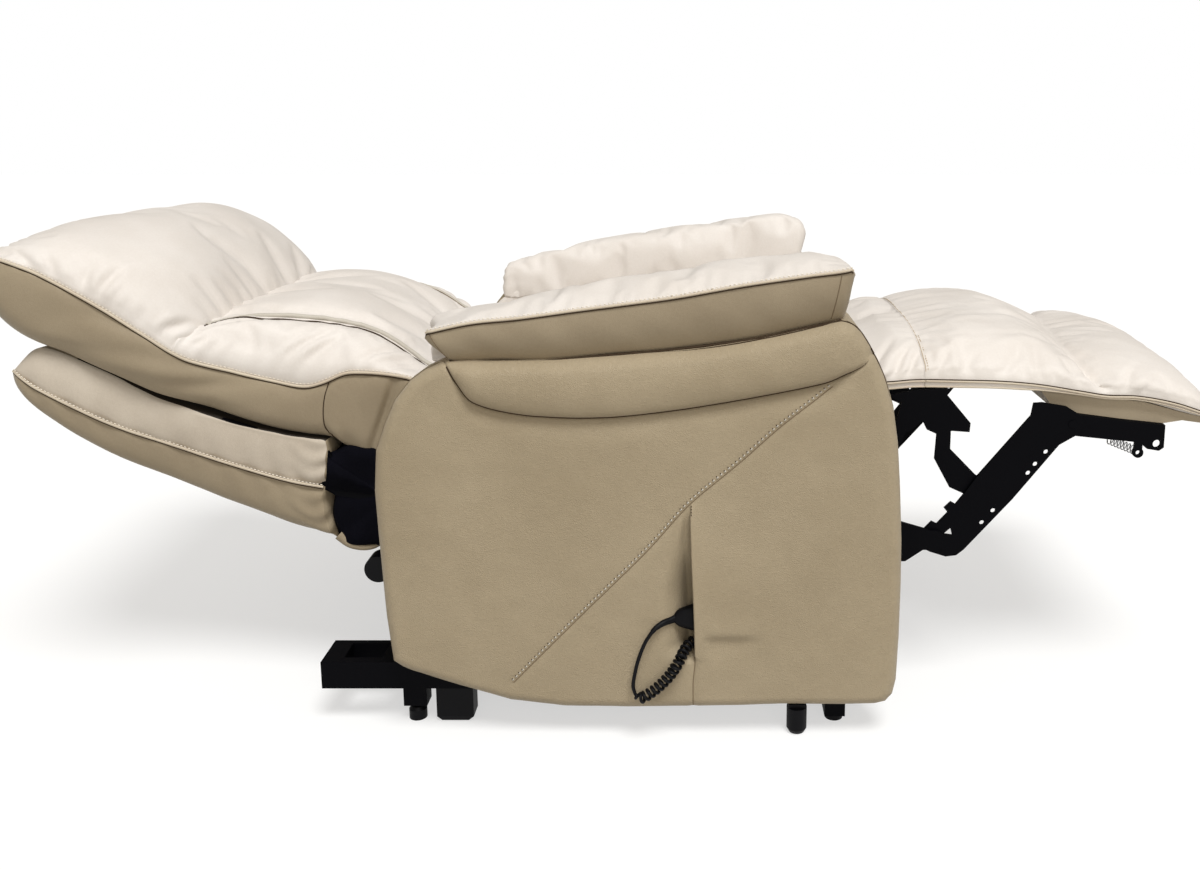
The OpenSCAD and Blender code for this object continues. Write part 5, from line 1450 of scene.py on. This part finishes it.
cordPoints = mm([(88, -402.2, 178), (80, -408, 177), (71, -414.5, 176), (61, -420.5, 171.5),
                 (53, -424.5, 163), (45, -424.5, 149), (36, -424.5, 124), (31, -424.5, 102),
                 (29, -424.5, 86), (32, -424.5, 74)])
curlPoints = mm([(32, -424.5, 74), (40, -424.5, 69), (54, -424.5, 77), (68, -424.5, 89),
                 (82, -424.5, 105), (94, -424.5, 125), (100, -413.5, 133), (107, -404, 139),
                 (113, -400, 141.6), (120, -400, 142)])
straight = smoothLine(cordPoints, 50)
route = smoothLine(curlPoints, 400)
steps = np.r_[0, np.cumsum(np.linalg.norm(np.diff(route, axis=0), axis=1))]
turns = 17
wire = 0.0046
radius = 0.0085 - wire / 2
coil = []
coilSteps = turns * 26
for i in range(coilSteps + 1):
    at = steps[-1] * i / coilSteps
    centre = np.array([np.interp(at, steps, route[:, k]) for k in range(3)])
    ahead = np.array([np.interp(min(at + 0.002, steps[-1]), steps, route[:, k]) for k in range(3)])
    behind = np.array([np.interp(max(at - 0.002, 0), steps, route[:, k]) for k in range(3)])
    way = (ahead - behind) / np.linalg.norm(ahead - behind)
    u = np.cross(way, np.array([0, 1.0, 0]))
    u /= np.linalg.norm(u)
    w = np.cross(way, u)
    # the coil opens from the straight cord and closes again at the grommet
    grow = min(1.0, i / 20.0, (coilSteps - i) / 14.0)
    angle = 2 * math.pi * turns * i / coilSteps
    coil.append(centre + radius * grow * (math.cos(angle) * u + math.sin(angle) * w))
path = np.concatenate([straight[:-1], np.array(coil)])
thick = np.interp(np.arange(len(path)), [0, 12, 44, 52], [0.0028, 0.0028, 0.0026, wire / 2])
handsetCord = tube("handsetCord", path, thick, blackRubber, sides=12)
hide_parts("handset_cord", "curly_cord")
attach(handsetCord, "carriage")
# tapered relief where the cord leaves the handset
relief = smoothLine(mm([(89, -401.9, 178), (80, -408, 177), (71, -414.5, 176), (61, -420.5, 171.5),
                        (56, -423.2, 167)]), 30)
attach(tube("cordRelief", relief, np.linspace(0.0056, 0.0032, 30), blackRubber, sides=16),
       "carriage")
print("handset made")

half, floorZ = 14, -0.0005
floorMesh = bpy.data.meshes.new("floor")
floorMesh.from_pydata([(x * half, y * half, floorZ) for x, y in ((-1, -1), (1, -1), (1, 1), (-1, 1))],
                      [], [(0, 1, 2, 3)])
floorMat, floorTree, floorShader = material("paleFloor")
floorRays = node(floorTree, "ShaderNodeLightPath")
floorSeen = node(floorTree, "ShaderNodeMath", operation="MAXIMUM")
floorSeenAll = node(floorTree, "ShaderNodeMath", operation="MAXIMUM")
floorGlow = node(floorTree, "ShaderNodeMath", operation="MULTIPLY")
floorGlow.inputs[1].default_value = 0.58
plug(floorTree, (floorRays, "Is Camera Ray", floorSeen, 0),
     (floorRays, "Is Glossy Ray", floorSeen, 1), (floorSeen, 0, floorSeenAll, 0),
     (floorRays, "Is Transmission Ray", floorSeenAll, 1), (floorSeenAll, 0, floorGlow, 0),
     (floorGlow, 0, floorShader, "Emission Strength"))
floorShader.inputs["Emission Color"].default_value = (1.0, 1.0, 1.0, 1)
floorShader.inputs["Base Color"].default_value = (0.43, 0.425, 0.415, 1)
floorShader.inputs["Roughness"].default_value = 0.9
floorShader.inputs["Specular IOR Level"].default_value = 0.0
floorMesh.materials.append(floorMat)
floor = link(bpy.data.objects.new("floor", floorMesh))

world = bpy.data.worlds.new("paleWorld")
scene.world = world
world.use_nodes = True
worldTree = world.node_tree
background = worldTree.nodes["Background"]
rays = node(worldTree, "ShaderNodeLightPath")
worldSeen = node(worldTree, "ShaderNodeMath", operation="MAXIMUM")
worldMix = node(worldTree, "ShaderNodeMix", data_type="RGBA")
# white where it is seen, and a plain grey light for everything else
for s in worldMix.inputs:
    if s.type == "RGBA":
        s.default_value = (0.36, 0.34, 0.31, 1) if s.name == "A" else (1.0, 1.0, 1.0, 1)
plug(worldTree, (rays, "Is Camera Ray", worldSeen, 0), (rays, "Is Transmission Ray", worldSeen, 1),
     (worldSeen, 0, worldMix, "Factor"))
mixed = [s for s in worldMix.outputs if s.type == "RGBA"][0]
worldTree.links.new(mixed, background.inputs["Color"])

sunData = bpy.data.lights.new("softSun", "SUN")
sunData.energy = 2.6
sunData.angle = math.radians(24)
sunData.color = (0.97, 0.985, 1.0)
sun = link(bpy.data.objects.new("softSun", sunData))
sun.rotation_euler = (math.radians(24), math.radians(12), 0)

fillData = bpy.data.lights.new("frontFill", "AREA")
fillData.shape = "RECTANGLE"
fillData.size, fillData.size_y = 4.0, 2.5
fillData.energy = 50
fillData.color = (1.0, 0.95, 0.87)
fill = link(bpy.data.objects.new("frontFill", fillData))
fill.location = (0.6, -4.5, 1.6)
fill.rotation_euler = (Vector((0, 0, 0.35)) - fill.location).to_track_quat("-Z", "Y").to_euler()
scene.view_settings.view_transform = "Standard"
print("stage made")
